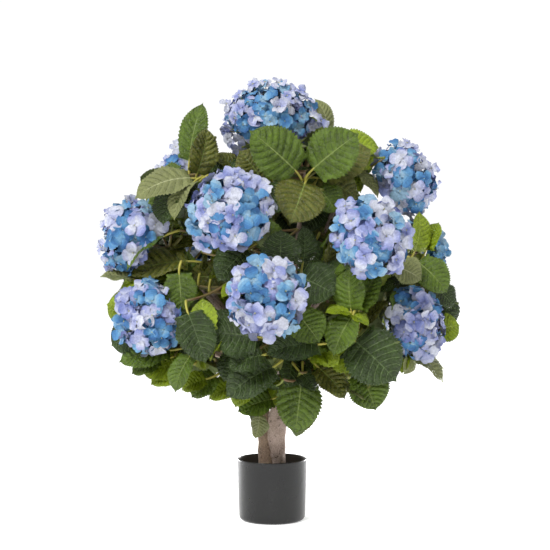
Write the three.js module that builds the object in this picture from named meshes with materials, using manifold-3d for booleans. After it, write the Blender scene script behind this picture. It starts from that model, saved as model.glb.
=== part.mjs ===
// An artificial hydrangea shrub about 0.9 m tall: a twin-stemmed trunk cast into a weighted nursery pot,
// boughs that leave the trunk at their own heights, masses of foliage that the boughs enter, and one
// solid for each mophead bloom. Millimetres, +Z up, the origin at the centre of the pot's underside,
// the fullest side of the shrub facing -Y.
import * as THREE from "three";
import { mergeVertices } from "three/addons/utils/BufferGeometryUtils.js";
import Module from "manifold-3d";

const wasm = await Module();
wasm.setup();

// ---- driving dimensions ----
const GAP = 0.35; // clearance between touching pieces
const CROWN_HEART = new THREE.Vector3(10, 0, 430); // masses and blooms face away from here

const POT = { rimRadius: 70.5, footRadius: 66.5, height: 122, wall: 2.2, footRound: 7, segments: 32 };
const FILL = { top: 92, base: 3, clearance: 0.4, segments: 24 };

// The two stems of the trunk: [x, y, z, radius] from the cast-in foot to the tip.
const MAIN_STEM = [
  [8, 9, 14, 21.5],
  [8, 6, 100, 20],
  [9, -3, 168, 19.5],
  [16, -6, 232, 18],
  [27, -4, 290, 17],
  [38, 0, 380, 13],
  [40, 4, 470, 9],
];
const SIDE_STEM = [
  [-11, -9, 14, 18.5],
  [-11.5, -6, 100, 17],
  [-13, 5, 168, 15],
  [-22, 12, 240, 13.5],
  [-40, 14, 310, 12],
  [-58, 10, 400, 8.5],
];
const STEM = { sides: 9, steps: 7 };

// Blooms: name, centre, equatorial radius, half thickness, and the way the dome faces.
const BLOOMS = [
  ["bloom_top", [-4, -30, 808], 97, 76, [0, -0.35, 0.94]],
  ["bloom_upper_left_back", [-180, 130, 722], 76, 60, [-0.5, 0.4, 0.75]],
  ["bloom_upper_right", [264, -20, 684], 81, 66, [0.8, -0.45, 0.45]],
  ["bloom_left", [-277, -60, 569], 80, 64, [-0.8, -0.55, 0.2]],
  ["bloom_centre_left", [-75, -252, 608], 81, 64, [-0.2, -0.93, 0.3]],
  ["bloom_centre_right", [179, -235, 557], 78, 62, [0.5, -0.83, 0.25]],
  ["bloom_lower_left", [-234, -120, 409], 73, 58, [-0.6, -0.8, -0.1]],
  ["bloom_low_front", [-10, -280, 451], 76, 60, [-0.02, -0.98, 0.1]],
  ["bloom_lower_right", [275, -110, 398], 72, 56, [0.75, -0.65, -0.05]],
  ["bloom_right_back", [306, 115, 540], 68, 54, [0.85, 0.48, 0.2]],
  ["bloom_back_high", [88, 212, 688], 78, 60, [0.3, 0.85, 0.45]],
  ["bloom_back_left", [-140, 250, 572], 78, 60, [-0.4, 0.88, 0.2]],
  ["bloom_back_low", [30, 277, 444], 76, 60, [0.05, 0.98, 0.1]],
  ["bloom_left_back_low", [-262, 140, 440], 72, 56, [-0.8, 0.55, 0.05]],
  ["bloom_right_back_low", [212, 222, 420], 74, 56, [0.6, 0.78, 0.05]],
];
const BLOOM = {
  round: 12, // facets round the dome
  rings: 6, // and from its face to its stalk
  wobble: 0.045, // how uneven the florets make the dome, as a share of its radius
  back: 0.72, // the underside of a mophead is this much shallower than its face
};

// Masses of foliage: name, centre, reach of the whorl of leaves, thickness as a share of the reach,
// turn of the whorl in degrees, and the tips of the leaves that stand furthest out.
const MASSES = [
  ["leaves_top_front", [62, -140, 690], 118, 0.6, 42, [[165, -150, 762], [-39, -190, 760], [35, -215, 588]]],
  ["leaves_upper_left", [-142, -78, 690], 118, 0.62, 5,
    [[-132, -60, 834], [-262, -100, 651], [-182, -60, 772]]],
  ["leaves_top", [20, 15, 728], 118, 0.6, 30, [[107, 0, 851], [-78, 20, 770]]],
  ["leaves_upper_right", [150, -30, 690], 108, 0.7, 15, [[212, -20, 765], [165, -20, 790]]],
  ["leaves_left", [-205, -45, 545], 112, 0.7, 20, [[-338, -80, 490]]],
  ["leaves_centre_left", [-84, -172, 572], 104, 0.7, 60, []],
  ["leaves_mid_front", [18, -200, 498], 88, 0.66, 30, []],
  ["leaves_centre_right", [160, -158, 512], 108, 0.7, 10, []],
  ["leaves_right", [268, -40, 528], 108, 0.66, 40, [[349, -60, 462], [297, -20, 618]]],
  ["leaves_low_left", [-210, -50, 380], 122, 0.7, 15, [[-325, -60, 435], [-304, -60, 322], [-219, -80, 268]]],
  ["leaves_low_front_left", [-112, -150, 345], 104, 0.7, 40, [[-184, -150, 272], [-76, -140, 258]]],
  ["leaves_low_front", [25, -150, 330], 104, 0.7, 12, []],
  ["leaves_low_right", [155, -140, 352], 108, 0.7, 50, [[184, -110, 224], [226, -90, 244]]],
  ["leaves_right_low", [262, -15, 388], 108, 0.7, 28, [[338, -40, 290], [376, -20, 392], [374, 0, 428]]],
  ["leaves_skirt", [12, -62, 246], 78, 0.85, 25,
    [[42, -100, 184], [-27, -100, 179], [85, -80, 222], [-60, -70, 222]]],
  ["leaves_back_top", [-70, 130, 700], 106, 0.66, 12, []],
  ["leaves_back_upper_right", [165, 130, 636], 110, 0.66, 35, []],
  ["leaves_back_left", [-215, 100, 590], 108, 0.7, 44, []],
  ["leaves_back_mid", [-62, 195, 562], 112, 0.7, 22, []],
  ["leaves_back_right", [212, 158, 505], 108, 0.7, 52, []],
  ["leaves_back_low_left", [-150, 170, 385], 120, 0.7, 33, [[-180, 150, 262]]],
  ["leaves_back_low", [30, 192, 372], 112, 0.75, 18, [[30, 120, 205]]],
  ["leaves_back_low_right", [160, 120, 345], 112, 0.7, 48, [[210, 110, 240]]],
];
const MASS = {
  detail: 1, // how finely the ball that each mass starts from is divided
  core: 0.6, // the close part of a mass, as a share of its reach
  whorl: 6, // leaves round the outward axis
  splay: 0.3, // how far every other leaf leans out of the whorl
  lobe: 8, // how sharply a leaf stands out of the mass
  wobble: 0.05,
};

// Boughs: name, the stem that carries it, its height on that stem, and the mass that it enters.
const BOUGHS = [
  ["bough_top", "main", 462, "leaves_top"],
  ["bough_top_front", "main", 446, "leaves_top_front"],
  ["bough_upper_left", "side", 392, "leaves_upper_left"],
  ["bough_upper_right", "main", 430, "leaves_upper_right"],
  ["bough_left", "side", 372, "leaves_left"],
  ["bough_centre_left", "side", 352, "leaves_centre_left"],
  ["bough_centre_right", "main", 395, "leaves_centre_right"],
  ["bough_right", "main", 372, "leaves_right"],
  ["bough_low_left", "side", 312, "leaves_low_left"],
  ["bough_low_front", "main", 330, "leaves_mid_front"],
  ["bough_low_right", "main", 292, "leaves_low_right"],
  ["bough_right_low", "main", 310, "leaves_right_low"],
  ["bough_back_top", "side", 396, "leaves_back_top"],
  ["bough_back_left", "side", 360, "leaves_back_left"],
  ["bough_back_mid", "main", 412, "leaves_back_mid"],
  ["bough_back_right", "main", 352, "leaves_back_right"],
  ["bough_back_low_left", "side", 330, "leaves_back_low_left"],
  ["bough_back_low", "main", 318, "leaves_back_low"],
];
const BOUGH = { foot: 7.5, tip: 4.5, sides: 5, steps: 3, sag: 15 };

// ---- materials ----
const finish = (color, roughness) => new THREE.MeshStandardMaterial({ color, roughness, metalness: 0 });
const PLASTIC = finish(0x3a3a3c, 0.5);
const CEMENT = finish(0x4a4743, 0.95);
const BARK = finish(0x6b5348, 0.85);
const LEAF = finish(0x33571f, 0.5);
const PETAL = finish(0x8fa4dd, 0.7);

// ---- solids ----
const vector = (point) => new THREE.Vector3(...point);

// A closed three.js geometry as a solid.
function solid(geometry) {
  const bare = geometry.clone();
  bare.deleteAttribute("normal");
  bare.deleteAttribute("uv");
  const merged = mergeVertices(bare, 1e-3);
  return new wasm.Manifold(
    new wasm.Mesh({
      numProp: 3,
      vertProperties: merged.attributes.position.array,
      triVerts: new Uint32Array(merged.index.array),
    }),
  );
}

// A solid as a named three.js mesh.
function piece(name, shape, material) {
  const { vertProperties, triVerts } = shape.getMesh();
  const geometry = new THREE.BufferGeometry();
  geometry.setAttribute("position", new THREE.BufferAttribute(vertProperties, 3));
  geometry.setIndex(new THREE.BufferAttribute(triVerts, 1));
  geometry.computeVertexNormals();
  const mesh = new THREE.Mesh(geometry, material);
  mesh.name = name;
  return mesh;
}

// What is left of a shape beside the shapes that are already in place, as its separate bodies.
const beside = (shape, placed) => placed.reduce((left, other) => left.subtract(other), shape).decompose();
const largest = (bodies) => bodies.reduce((a, b) => (a.volume() > b.volume() ? a : b));

// A smooth unevenness from -1 to 1 over the directions of a sphere, different for each seed.
function uneven(d, seed) {
  const waves = [
    3.1 * d.x + 1.7 * d.y + seed,
    2.7 * d.y - 3.3 * d.z + 2.1 * seed,
    3.7 * d.z + 2.3 * d.x + 3.3 * seed,
  ];
  return waves.reduce((sum, wave) => sum + Math.sin(wave) / waves.length, 0);
}

// A closed lump round a centre: each direction of a unit ball goes out to where(direction).
function lump(centre, ball, where) {
  const geometry = ball.clone();
  const at = geometry.attributes.position;
  for (let i = 0; i < at.count; i += 1) {
    const direction = new THREE.Vector3().fromBufferAttribute(at, i).normalize();
    at.setXYZ(i, ...where(direction).toArray());
  }
  return solid(geometry.translate(...centre));
}

const BLOOM_BALL = new THREE.SphereGeometry(1, BLOOM.round, BLOOM.rings).rotateX(Math.PI / 2);
const MASS_BALL = new THREE.DodecahedronGeometry(1, MASS.detail);
const turnedTo = (axis) => new THREE.Quaternion().setFromUnitVectors(new THREE.Vector3(0, 0, 1), axis);

// A mophead: a dome with a shallower back. Grown makes it that much larger all round.
function bloomShape([, centre, radius, half, faces], seed, grown) {
  const facing = turnedTo(vector(faces).normalize());
  return lump(centre, BLOOM_BALL, (d) => {
    const share = 1 + BLOOM.wobble * uneven(d, seed);
    const depth = d.z < 0 ? half * BLOOM.back : half;
    const size = new THREE.Vector3(radius * share, radius * share, depth * share).addScalar(grown);
    return d.clone().multiply(size).applyQuaternion(facing);
  });
}

// The whorl of a mass: leaf directions round its outward axis, every other one leaning out.
function whorl(outward, reach, turn) {
  const facing = turnedTo(outward);
  return Array.from({ length: MASS.whorl }, (_, i) => {
    const angle = THREE.MathUtils.degToRad(turn) + (i * 2 * Math.PI) / MASS.whorl;
    const lean = i % 2 ? MASS.splay : -MASS.splay / 2;
    const direction = new THREE.Vector3(Math.cos(angle), Math.sin(angle), lean).normalize();
    return direction.applyQuaternion(facing).multiplyScalar(reach);
  });
}

// A mass of foliage: a close, flattened core from which leaves reach out to their tips.
function massShape([, centre, reach, flat, turn, tips], seed, grown) {
  const middle = vector(centre);
  const outward = middle.clone().sub(CROWN_HEART).normalize();
  const leaves = whorl(outward, reach, turn).concat(tips.map((tip) => vector(tip).sub(middle)));
  const core = (d) => {
    const out = d.dot(outward);
    const flattened = Math.sqrt(1 - out * out + (out / flat) ** 2);
    return ((MASS.core * reach) / flattened) * (1 + MASS.wobble * uneven(d, seed));
  };
  return lump(centre, MASS_BALL, (d) => {
    const lobes = leaves.map((leaf) => {
      const along = leaf.clone().normalize();
      return (leaf.length() - core(along)) * Math.exp(MASS.lobe * (d.dot(along) - 1));
    });
    return d.clone().multiplyScalar(core(d) + Math.max(0, ...lobes) + grown);
  });
}

// One tapering limb along a curve: a closed cylinder whose rings go to the curve's points.
function limb(curve, radiusAt, { sides, steps }) {
  const geometry = new THREE.CylinderGeometry(1, 1, 1, sides, steps);
  const at = geometry.attributes.position;
  const { normals, binormals } = curve.computeFrenetFrames(steps, false);
  for (let i = 0; i < at.count; i += 1) {
    const step = Math.round((at.getY(i) + 0.5) * steps);
    const radius = radiusAt(step / steps);
    const point = curve.getPointAt(step / steps);
    point.addScaledVector(normals[step], at.getX(i) * radius);
    point.addScaledVector(binormals[step], -at.getZ(i) * radius);
    at.setXYZ(i, ...point.toArray());
  }
  return solid(geometry);
}

// A stem's centre line and its radius along it, from its rows.
function stem(rows) {
  const curve = new THREE.CatmullRomCurve3(rows.map(([x, y, z]) => vector([x, y, z])));
  const radii = new THREE.CatmullRomCurve3(rows.map(([, , z, radius]) => vector([radius, 0, z])));
  return { curve, radiusAt: (t) => radii.getPointAt(t).x };
}

// The point of a stem at a height, found by halving the stretch that holds it.
function pointAtHeight({ curve }, z) {
  let [low, high] = [0, 1];
  while (high - low > 1e-4) {
    const middle = (low + high) / 2;
    if (curve.getPoint(middle).z < z) low = middle;
    else high = middle;
  }
  return curve.getPoint(low);
}

// A wall turned round the upright axis from [radius, height] points.
function turning(profile, segments) {
  const points = profile.map(([radius, height]) => new THREE.Vector2(radius, height));
  return solid(new THREE.LatheGeometry(points, segments).rotateX(Math.PI / 2));
}

// ---- pot and fill ----
const potRadius = (z) => POT.footRadius + ((POT.rimRadius - POT.footRadius) * z) / POT.height;

function potShape() {
  const { height, wall, footRound, segments } = POT;
  const arc = [0, 45, 90].map((degrees) => {
    const angle = THREE.MathUtils.degToRad(degrees);
    const radius = potRadius(footRound) - footRound * (1 - Math.sin(angle));
    return [radius, footRound * (1 - Math.cos(angle))];
  });
  const outside = [[0, 0], ...arc, [potRadius(height), height]];
  const inside = [
    [potRadius(height) - wall, height],
    [potRadius(footRound) - wall, footRound],
    [potRadius(wall) - footRound, wall],
    [0, wall],
  ];
  return turning([...outside, ...inside], segments);
}

function fillShape(trunkGrown) {
  const { wall, footRound } = POT;
  const inner = (z) => potRadius(z) - wall - FILL.clearance;
  const profile = [
    [0, FILL.base],
    [inner(0) - footRound, FILL.base],
    [inner(footRound), footRound + FILL.clearance],
    [inner(FILL.top), FILL.top],
    [0, FILL.top],
  ];
  return largest(beside(turning(profile, FILL.segments), [trunkGrown]));
}

// ---- trunk and boughs ----
const stems = { main: stem(MAIN_STEM), side: stem(SIDE_STEM) };
const stemShape = ({ curve, radiusAt }, grown) => limb(curve, (t) => radiusAt(t) + grown, STEM);
const trunkShape = (grown) => stemShape(stems.main, grown).add(stemShape(stems.side, grown));

// A bough's curve from its stem to the middle of its mass, hanging a little below the straight line.
function boughCurve([, stemName, height, massName]) {
  const start = pointAtHeight(stems[stemName], height);
  const end = vector(MASSES.find(([name]) => name === massName)[1]);
  const bend = start.clone().lerp(end, 0.5);
  bend.z -= BOUGH.sag;
  return new THREE.QuadraticBezierCurve3(start, bend, end);
}

const boughShape = (curve, grown) =>
  limb(curve, (t) => THREE.MathUtils.lerp(BOUGH.foot, BOUGH.tip, t) + grown, BOUGH);

// How near a body comes to a point.
function nearness(body, point) {
  const corners = new THREE.BufferAttribute(body.getMesh().vertProperties, 3);
  const distances = Array.from({ length: corners.count }, (_, i) =>
    new THREE.Vector3().fromBufferAttribute(corners, i).distanceTo(point),
  );
  return Math.min(...distances);
}

// ---- the whole plant ----
const group = new THREE.Group();
const trunkGrown = trunkShape(GAP).add(trunkShape(GAP).translate(0, 0, -GAP));
group.add(piece("pot", potShape(), PLASTIC));
group.add(piece("pot_fill", fillShape(trunkGrown), CEMENT));
group.add(piece("trunk", trunkShape(0), BARK));

const placed = [trunkGrown];
BLOOMS.forEach((row, seed) => {
  group.add(piece(row[0], largest(beside(bloomShape(row, seed, 0), placed)), PETAL));
  placed.push(bloomShape(row, seed, GAP));
});
MASSES.forEach((row, seed) => {
  group.add(piece(row[0], largest(beside(massShape(row, seed, 0), placed)), LEAF));
  placed.push(massShape(row, seed, GAP));
});
for (const row of BOUGHS) {
  const curve = boughCurve(row);
  const bodies = beside(boughShape(curve, 0), placed);
  const start = curve.getPoint(0);
  const atStem = bodies.reduce((a, b) => (nearness(a, start) <= nearness(b, start) ? a : b));
  group.add(piece(row[0], atStem, BARK));
  placed.push(boughShape(curve, GAP));
}

export default group;
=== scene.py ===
"""Artificial hydrangea shrub in a black pot, with blue and lilac mophead blooms.

Two bark-clad stems stand in the pot's cement. Boughs leave the stems, twigs leave the boughs, and
the twigs carry whorls of embossed fabric leaves and domes of fabric florets. Sizes are in
millimetres and the meshes are made in metres.
"""

import logging
import math
from dataclasses import dataclass
from enum import Enum

import bpy
import numpy as np
from mathutils.bvhtree import BVHTree
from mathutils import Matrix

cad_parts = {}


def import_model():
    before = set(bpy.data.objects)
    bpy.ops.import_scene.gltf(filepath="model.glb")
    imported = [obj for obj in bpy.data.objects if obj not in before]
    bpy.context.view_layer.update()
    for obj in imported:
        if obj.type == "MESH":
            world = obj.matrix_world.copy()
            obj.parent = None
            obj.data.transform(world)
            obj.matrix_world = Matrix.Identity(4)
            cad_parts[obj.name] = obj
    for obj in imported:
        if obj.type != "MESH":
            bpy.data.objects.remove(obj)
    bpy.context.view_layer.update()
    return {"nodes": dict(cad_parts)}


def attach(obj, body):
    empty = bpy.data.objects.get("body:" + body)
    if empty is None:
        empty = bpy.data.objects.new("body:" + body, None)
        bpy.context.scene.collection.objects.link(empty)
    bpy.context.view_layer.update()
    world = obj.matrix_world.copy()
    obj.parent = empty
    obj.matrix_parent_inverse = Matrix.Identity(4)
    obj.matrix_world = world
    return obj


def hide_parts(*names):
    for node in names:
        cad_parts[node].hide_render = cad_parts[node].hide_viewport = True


LOG = logging.getLogger("shrub")
MM = 0.001
GOLDEN = math.pi * (3 - math.sqrt(5))
UP = np.array((0.0, 0.0, 1.0))
SEED = 71

Triple = tuple[float, float, float]
Pair = tuple[float, float]
Words = tuple[str, str]
Group = tuple[str, tuple[str, ...]]


# ---- vectors


def unit(vector: np.ndarray) -> np.ndarray:
    """Scales one vector, or each row of vectors, to length one."""
    vector = np.asarray(vector, float)
    return vector / np.maximum(np.linalg.norm(vector, axis=-1, keepdims=True), 1e-9)


def square_to(axis: np.ndarray, hint: np.ndarray) -> tuple[np.ndarray, np.ndarray]:
    """Finds two directions square to an axis.

    Args:
        axis: a unit vector.
        hint: a direction that the second result leans to.

    Returns:
        The side direction and the one nearest to the hint, right-handed after the axis.
    """
    lift = hint - axis * float(np.dot(hint, axis))
    if np.linalg.norm(lift) < 1e-4:
        spare = np.array((1.0, 0.0, 0.0)) if abs(axis[0]) < 0.7 else np.array((0.0, 1.0, 0.0))
        lift = spare - axis * float(np.dot(spare, axis))
    lift = unit(lift)
    return np.cross(lift, axis), lift


def ripple(places: np.ndarray, rng: np.random.Generator, length: float,
           waves: int = 14) -> np.ndarray:
    """Makes a smooth random field.

    Args:
        places: rows of points.
        rng: the source of the wave directions.
        length: the size of the field's lumps, in the points' units.
        waves: how many waves are summed.

    Returns:
        One value for each point, mostly between -1 and 1.
    """
    ways = rng.normal(size=(waves, places.shape[-1])) * (2 * math.pi / length) * 0.6
    phases = rng.uniform(0, 2 * math.pi, waves)
    return np.sin(places @ ways.T + phases).sum(-1) / math.sqrt(waves / 2) / 1.6


def bezier(start: np.ndarray, middle: np.ndarray, end: np.ndarray, count: int) -> np.ndarray:
    """Samples a curve from start to end that bends towards its middle point."""
    t = np.linspace(0, 1, count)[:, None]
    return (1 - t) ** 2 * start + 2 * t * (1 - t) * middle + t**2 * end


def mirrored(shares: tuple[float, ...]) -> np.ndarray:
    """Puts the negative of each share, in reverse order, before the shares."""
    return np.array([-share for share in reversed(shares)] + list(shares))


# ---- meshes


def cells(ids: np.ndarray, flipped: bool = False) -> np.ndarray:
    """Lists the four corners of each cell of a grid of point numbers, turned over when flipped."""
    corners = [ids[:-1, :-1], ids[1:, :-1], ids[1:, 1:], ids[:-1, 1:]]
    return np.stack(corners[:1] + corners[:0:-1] if flipped else corners, -1).reshape(-1, 4)


@dataclass
class Shape:
    """One closed surface: points in mm, faces, the faces' slots and which points are on a rim."""

    points: np.ndarray
    quads: np.ndarray
    quad_slots: np.ndarray
    corners: np.ndarray
    corner_slots: np.ndarray
    rim: np.ndarray


class Bundle:
    """Many shapes of one kind that are joined into one piece."""

    def __init__(self, name: str) -> None:
        """Starts an empty piece with its name."""
        self.name = name
        self.shapes: list[Shape] = []

    def add(self, shape: Shape) -> None:
        """Puts one more shape into the piece."""
        self.shapes.append(shape)

    def triangles(self) -> int:
        """Counts the triangles so far."""
        return sum(2 * len(s.quads) + len(s.corners) for s in self.shapes)

    def joined(self, part: str) -> np.ndarray:
        """Puts one field of all the shapes into one array."""
        return np.concatenate([getattr(shape, part) for shape in self.shapes])

    def build(self, finishes: list[bpy.types.Material]) -> bpy.types.Object:
        """Makes the mesh object.

        Args:
            finishes: the materials, in the order of the slots.

        Returns:
            The new object, linked to the scene.
        """
        starts = np.cumsum([0] + [len(s.points) for s in self.shapes[:-1]])
        points = self.joined("points") * MM
        quads = np.concatenate([s.quads + k for s, k in zip(self.shapes, starts)])
        corners = np.concatenate([s.corners + k for s, k in zip(self.shapes, starts)])
        slots = np.concatenate([self.joined("quad_slots"), self.joined("corner_slots")])
        mesh = bpy.data.meshes.new(self.name)
        mesh.vertices.add(len(points))
        mesh.vertices.foreach_set("co", points.astype(np.float32).ravel())
        loops = np.concatenate([quads.ravel(), corners.ravel()]).astype(np.int32)
        mesh.loops.add(len(loops))
        mesh.loops.foreach_set("vertex_index", loops)
        first = np.concatenate([4 * np.arange(len(quads)),
                                4 * len(quads) + 3 * np.arange(len(corners))])
        mesh.polygons.add(len(first))
        mesh.polygons.foreach_set("loop_start", first.astype(np.int32))
        mesh.polygons.foreach_set("material_index", slots.astype(np.int32))
        mesh.polygons.foreach_set("use_smooth", np.ones(len(first), bool))
        for finish in finishes:
            mesh.materials.append(finish)
        mesh.update(calc_edges=True)
        ends = np.zeros(len(mesh.edges) * 2, np.int32)
        mesh.edges.foreach_get("vertices", ends)
        crisp = self.joined("rim")[ends.reshape(-1, 2)].all(axis=1)
        if crisp.any():
            sharp = mesh.attributes.new("sharp_edge", "BOOLEAN", "EDGE")
            sharp.data.foreach_set("value", crisp)
        mesh.validate()
        piece = bpy.data.objects.new(self.name, mesh)
        bpy.context.scene.collection.objects.link(piece)
        return piece


def capped(skin: np.ndarray, ends: np.ndarray, sides: int, slot: int = 0) -> Shape:
    """Closes a skin of rings with a fan at each end.

    Args:
        skin: rows of points, ring after ring.
        ends: the middle point of each fan.
        sides: how many points a ring has.
        slot: the slot of the faces.

    Returns:
        The closed form.
    """
    ids = np.arange(len(skin)).reshape(-1, sides)
    ids = np.concatenate([ids, ids[:, :1]], 1)
    quads = cells(ids, flipped=True)
    hub = np.full(sides, len(skin))
    foot = np.stack([hub, ids[0, 1:], ids[0, :-1]], 1)
    head = np.stack([hub + 1, ids[-1, :-1], ids[-1, 1:]], 1)
    corners = np.concatenate([foot, head])
    points = np.concatenate([skin, ends])
    return Shape(points, quads, np.full(len(quads), slot), corners, np.full(len(corners), slot),
                 np.zeros(len(points), bool))


def tube(path: np.ndarray, radii: np.ndarray, sides: int, slot: int = 0,
         relief: np.ndarray | None = None) -> Shape:
    """Makes a round bar along a path, closed at both ends.

    Args:
        path: rows of points.
        radii: the bar's radius at each of them.
        sides: how many sides its section has.
        slot: the slot of its faces.
        relief: what is added to the radius, one row for each point and one column for each side.

    Returns:
        The bar.
    """
    rings = len(path)
    along = unit(np.gradient(path, axis=0))
    first = np.zeros((rings, 3))
    lean = np.array((1.0, 0.0, 0.0)) if abs(along[0][0]) < 0.8 else UP
    for i in range(rings):
        lean = unit(lean - along[i] * float(np.dot(lean, along[i])))
        first[i] = lean
    second = np.cross(along, first)
    angle = np.arange(sides) * 2 * math.pi / sides
    reach = np.repeat(np.asarray(radii, float)[:, None], sides, 1)
    if relief is not None:
        reach = reach + relief
    turned = np.cos(angle)[None, :, None], np.sin(angle)[None, :, None]
    ring = turned[0] * first[:, None] + turned[1] * second[:, None]
    skin = (path[:, None] + reach[:, :, None] * ring).reshape(-1, 3)
    return capped(skin, path[[0, -1]], sides, slot)


def lathe(profile: list[Pair], sides: int) -> Shape:
    """Turns a profile about the z axis.

    Args:
        profile: radius and height pairs that start and end on the axis.
        sides: how many sides the turned form has.

    Returns:
        The closed form.
    """
    angle = np.arange(sides) * 2 * math.pi / sides
    skin = [[(r * math.cos(a), r * math.sin(a), z) for a in angle] for r, z in profile[1:-1]]
    ends = [(0, 0, profile[0][1]), (0, 0, profile[-1][1])]
    return capped(np.array(skin).reshape(-1, 3), np.array(ends), sides)


# ---- shader graphs


class Wire:
    """A shader value that Python's operators work on."""

    def __init__(self, graph: "Graph", socket: bpy.types.NodeSocket) -> None:
        """Wraps one output socket of a graph."""
        self.graph = graph
        self.socket = socket

    def _math(self, operation: str, first: "Wire | float", second: "Wire | float") -> "Wire":
        """Adds one Math node for two values."""
        return self.graph.node("ShaderNodeMath", {"operation": operation}, {0: first, 1: second})

    def __add__(self, other: "Wire | float") -> "Wire":
        """Adds a value."""
        return self._math("ADD", self, other)

    __radd__ = __add__

    def __sub__(self, other: "Wire | float") -> "Wire":
        """Takes a value away."""
        return self._math("SUBTRACT", self, other)

    def __rsub__(self, other: "Wire | float") -> "Wire":
        """Is taken away from a value."""
        return self._math("SUBTRACT", other, self)

    def __mul__(self, other: "Wire | float") -> "Wire":
        """Multiplies by a value."""
        return self._math("MULTIPLY", self, other)

    __rmul__ = __mul__


def linear(code: str) -> tuple[float, float, float, float]:
    """Turns a colour code into linear light.

    Args:
        code: six hexadecimal digits after a hash sign.

    Returns:
        Red, green, blue and an alpha of one.
    """
    parts = [int(code[i:i + 2], 16) / 255 for i in (1, 3, 5)]
    light = (p / 12.92 if p <= 0.04045 else ((p + 0.055) / 1.055) ** 2.4 for p in parts)
    return (*light, 1.0)


def shaded(code: str, share: float) -> tuple[float, float, float, float]:
    """Turns a colour code into linear light that is multiplied by a share."""
    red, green, blue, alpha = linear(code)
    return min(red * share, 1.0), min(green * share, 1.0), min(blue * share, 1.0), alpha


class Graph:
    """The node tree of one material or sky, around its shader."""

    def __init__(self, name: str, sky: bool = False) -> None:
        """Makes the material or the sky.

        Args:
            name: its name.
            sky: whether it is a sky.
        """
        self.owner = (bpy.data.worlds if sky else bpy.data.materials).new(name)
        self.owner.use_nodes = True
        self.tree = self.owner.node_tree
        kind = "BACKGROUND" if sky else "BSDF_PRINCIPLED"
        self.shader = next(n for n in self.tree.nodes if n.type == kind)
        self.place = self.node("ShaderNodeTexCoord", {}, {}, "Generated" if sky else "Object")

    def feed(self, socket: bpy.types.NodeSocket, value: object) -> None:
        """Links an input socket to a wire, or sets it to a number or a tuple."""
        if isinstance(value, Wire):
            self.tree.links.new(value.socket, socket)
        else:
            socket.default_value = value

    def node(self, kind: str, settings: dict, sockets: dict, output: int | str = 0) -> Wire:
        """Adds any node.

        Args:
            kind: the node's type.
            settings: its properties, and "stops" for the stops of a ramp.
            sockets: values or wires for its inputs, by name or number.
            output: which output is returned.

        Returns:
            The output as a wire.
        """
        made = self.tree.nodes.new(kind)
        for key, value in settings.items():
            if key == "stops":
                ramp = made.color_ramp
                while len(ramp.elements) < len(value):
                    ramp.elements.new(0.5)
                for element, (position, colour) in zip(ramp.elements, value):
                    element.position = position
                    element.color = colour
            else:
                setattr(made, key, value)
        for key, value in sockets.items():
            self.feed(made.inputs[key], value)
        return Wire(self, made.outputs[output])

    def noise(self, lumps: float, detail: float = 2.0, rough: float = 0.5) -> Wire:
        """Adds noise around one half, with so many lumps a metre, finer octaves of a strength."""
        return self.node("ShaderNodeTexNoise", {"noise_dimensions": "3D"},
                         {"Vector": self.place, "Scale": lumps, "Detail": detail,
                          "Roughness": rough}, "Fac")

    def ramp(self, value: Wire, low: float, high: float) -> Wire:
        """Stretches a value so that low becomes zero and high one, and holds it within them."""
        return self.node("ShaderNodeMapRange", {"clamp": True},
                         {"Value": value, "From Min": low, "From Max": high,
                          "To Min": 0.0, "To Max": 1.0})

    def mix(self, share: Wire, first: object, second: object) -> Wire:
        """Mixes two colours by the share of the second."""
        return self.node("ShaderNodeMix", {"data_type": "RGBA"}, {0: share, 6: first, 7: second}, 2)

    def mottled(self, share: Wire, code: str, spread: float) -> Wire:
        """Mixes a colour's darker and lighter shade, which lie a spread to either side of it."""
        return self.mix(share, shaded(code, 1 - spread), shaded(code, 1 + spread))

    def bump(self, height: Wire, depth: float, strength: float = 1.0) -> Wire:
        """Raises the surface by a relief from zero to one, where one stands a depth in metres."""
        return self.node("ShaderNodeBump", {},
                         {"Height": height, "Distance": depth, "Strength": strength}, "Normal")

    def finish(self, **values: object) -> bpy.types.Material | bpy.types.World:
        """Feeds the shader's inputs, named with underscores, and gives the material or sky."""
        for key, value in values.items():
            self.feed(self.shader.inputs[key.replace("_", " ")], value)
        return self.owner


# ---- finishes


@dataclass(frozen=True)
class LeafCloth:
    """Dyed polyester of a leaf, embossed and faintly waxed."""

    name: str
    colour: str
    gloss: float = 0.22
    # The mottle spreads the tone both at random and along the crumple relief, the latter a painted
    # crease shade and highlight.
    mottle: float = 0.52
    crinkle: float = 0.005
    shine: float = 0.4

    def make(self) -> bpy.types.Material:
        """Builds the material.

        Returns:
            The material.
        """
        graph = Graph(self.name)
        blotch = graph.ramp(graph.noise(38, 3), 0.32, 0.68)
        crumple_relief_and_shade = graph.noise(230, 3, 0.6)
        grain = graph.noise(700, 2, 0.6)
        # The tone follows the crumple relief as well as the blotches: darker in the hollows and
        # lighter on the crests, a painted crease shade and highlight.
        tone = graph.mottled(blotch * 0.5 + graph.ramp(crumple_relief_and_shade, 0.35, 0.65) * 0.5,
                             self.colour, self.mottle)
        return graph.finish(
            Base_Color=tone,
            Roughness=self.gloss + 0.12 * blotch,
            Specular_IOR_Level=self.shine,
            Normal=graph.bump(crumple_relief_and_shade * 0.8 + grain * 0.2, self.crinkle, 1.0),
        )


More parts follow.
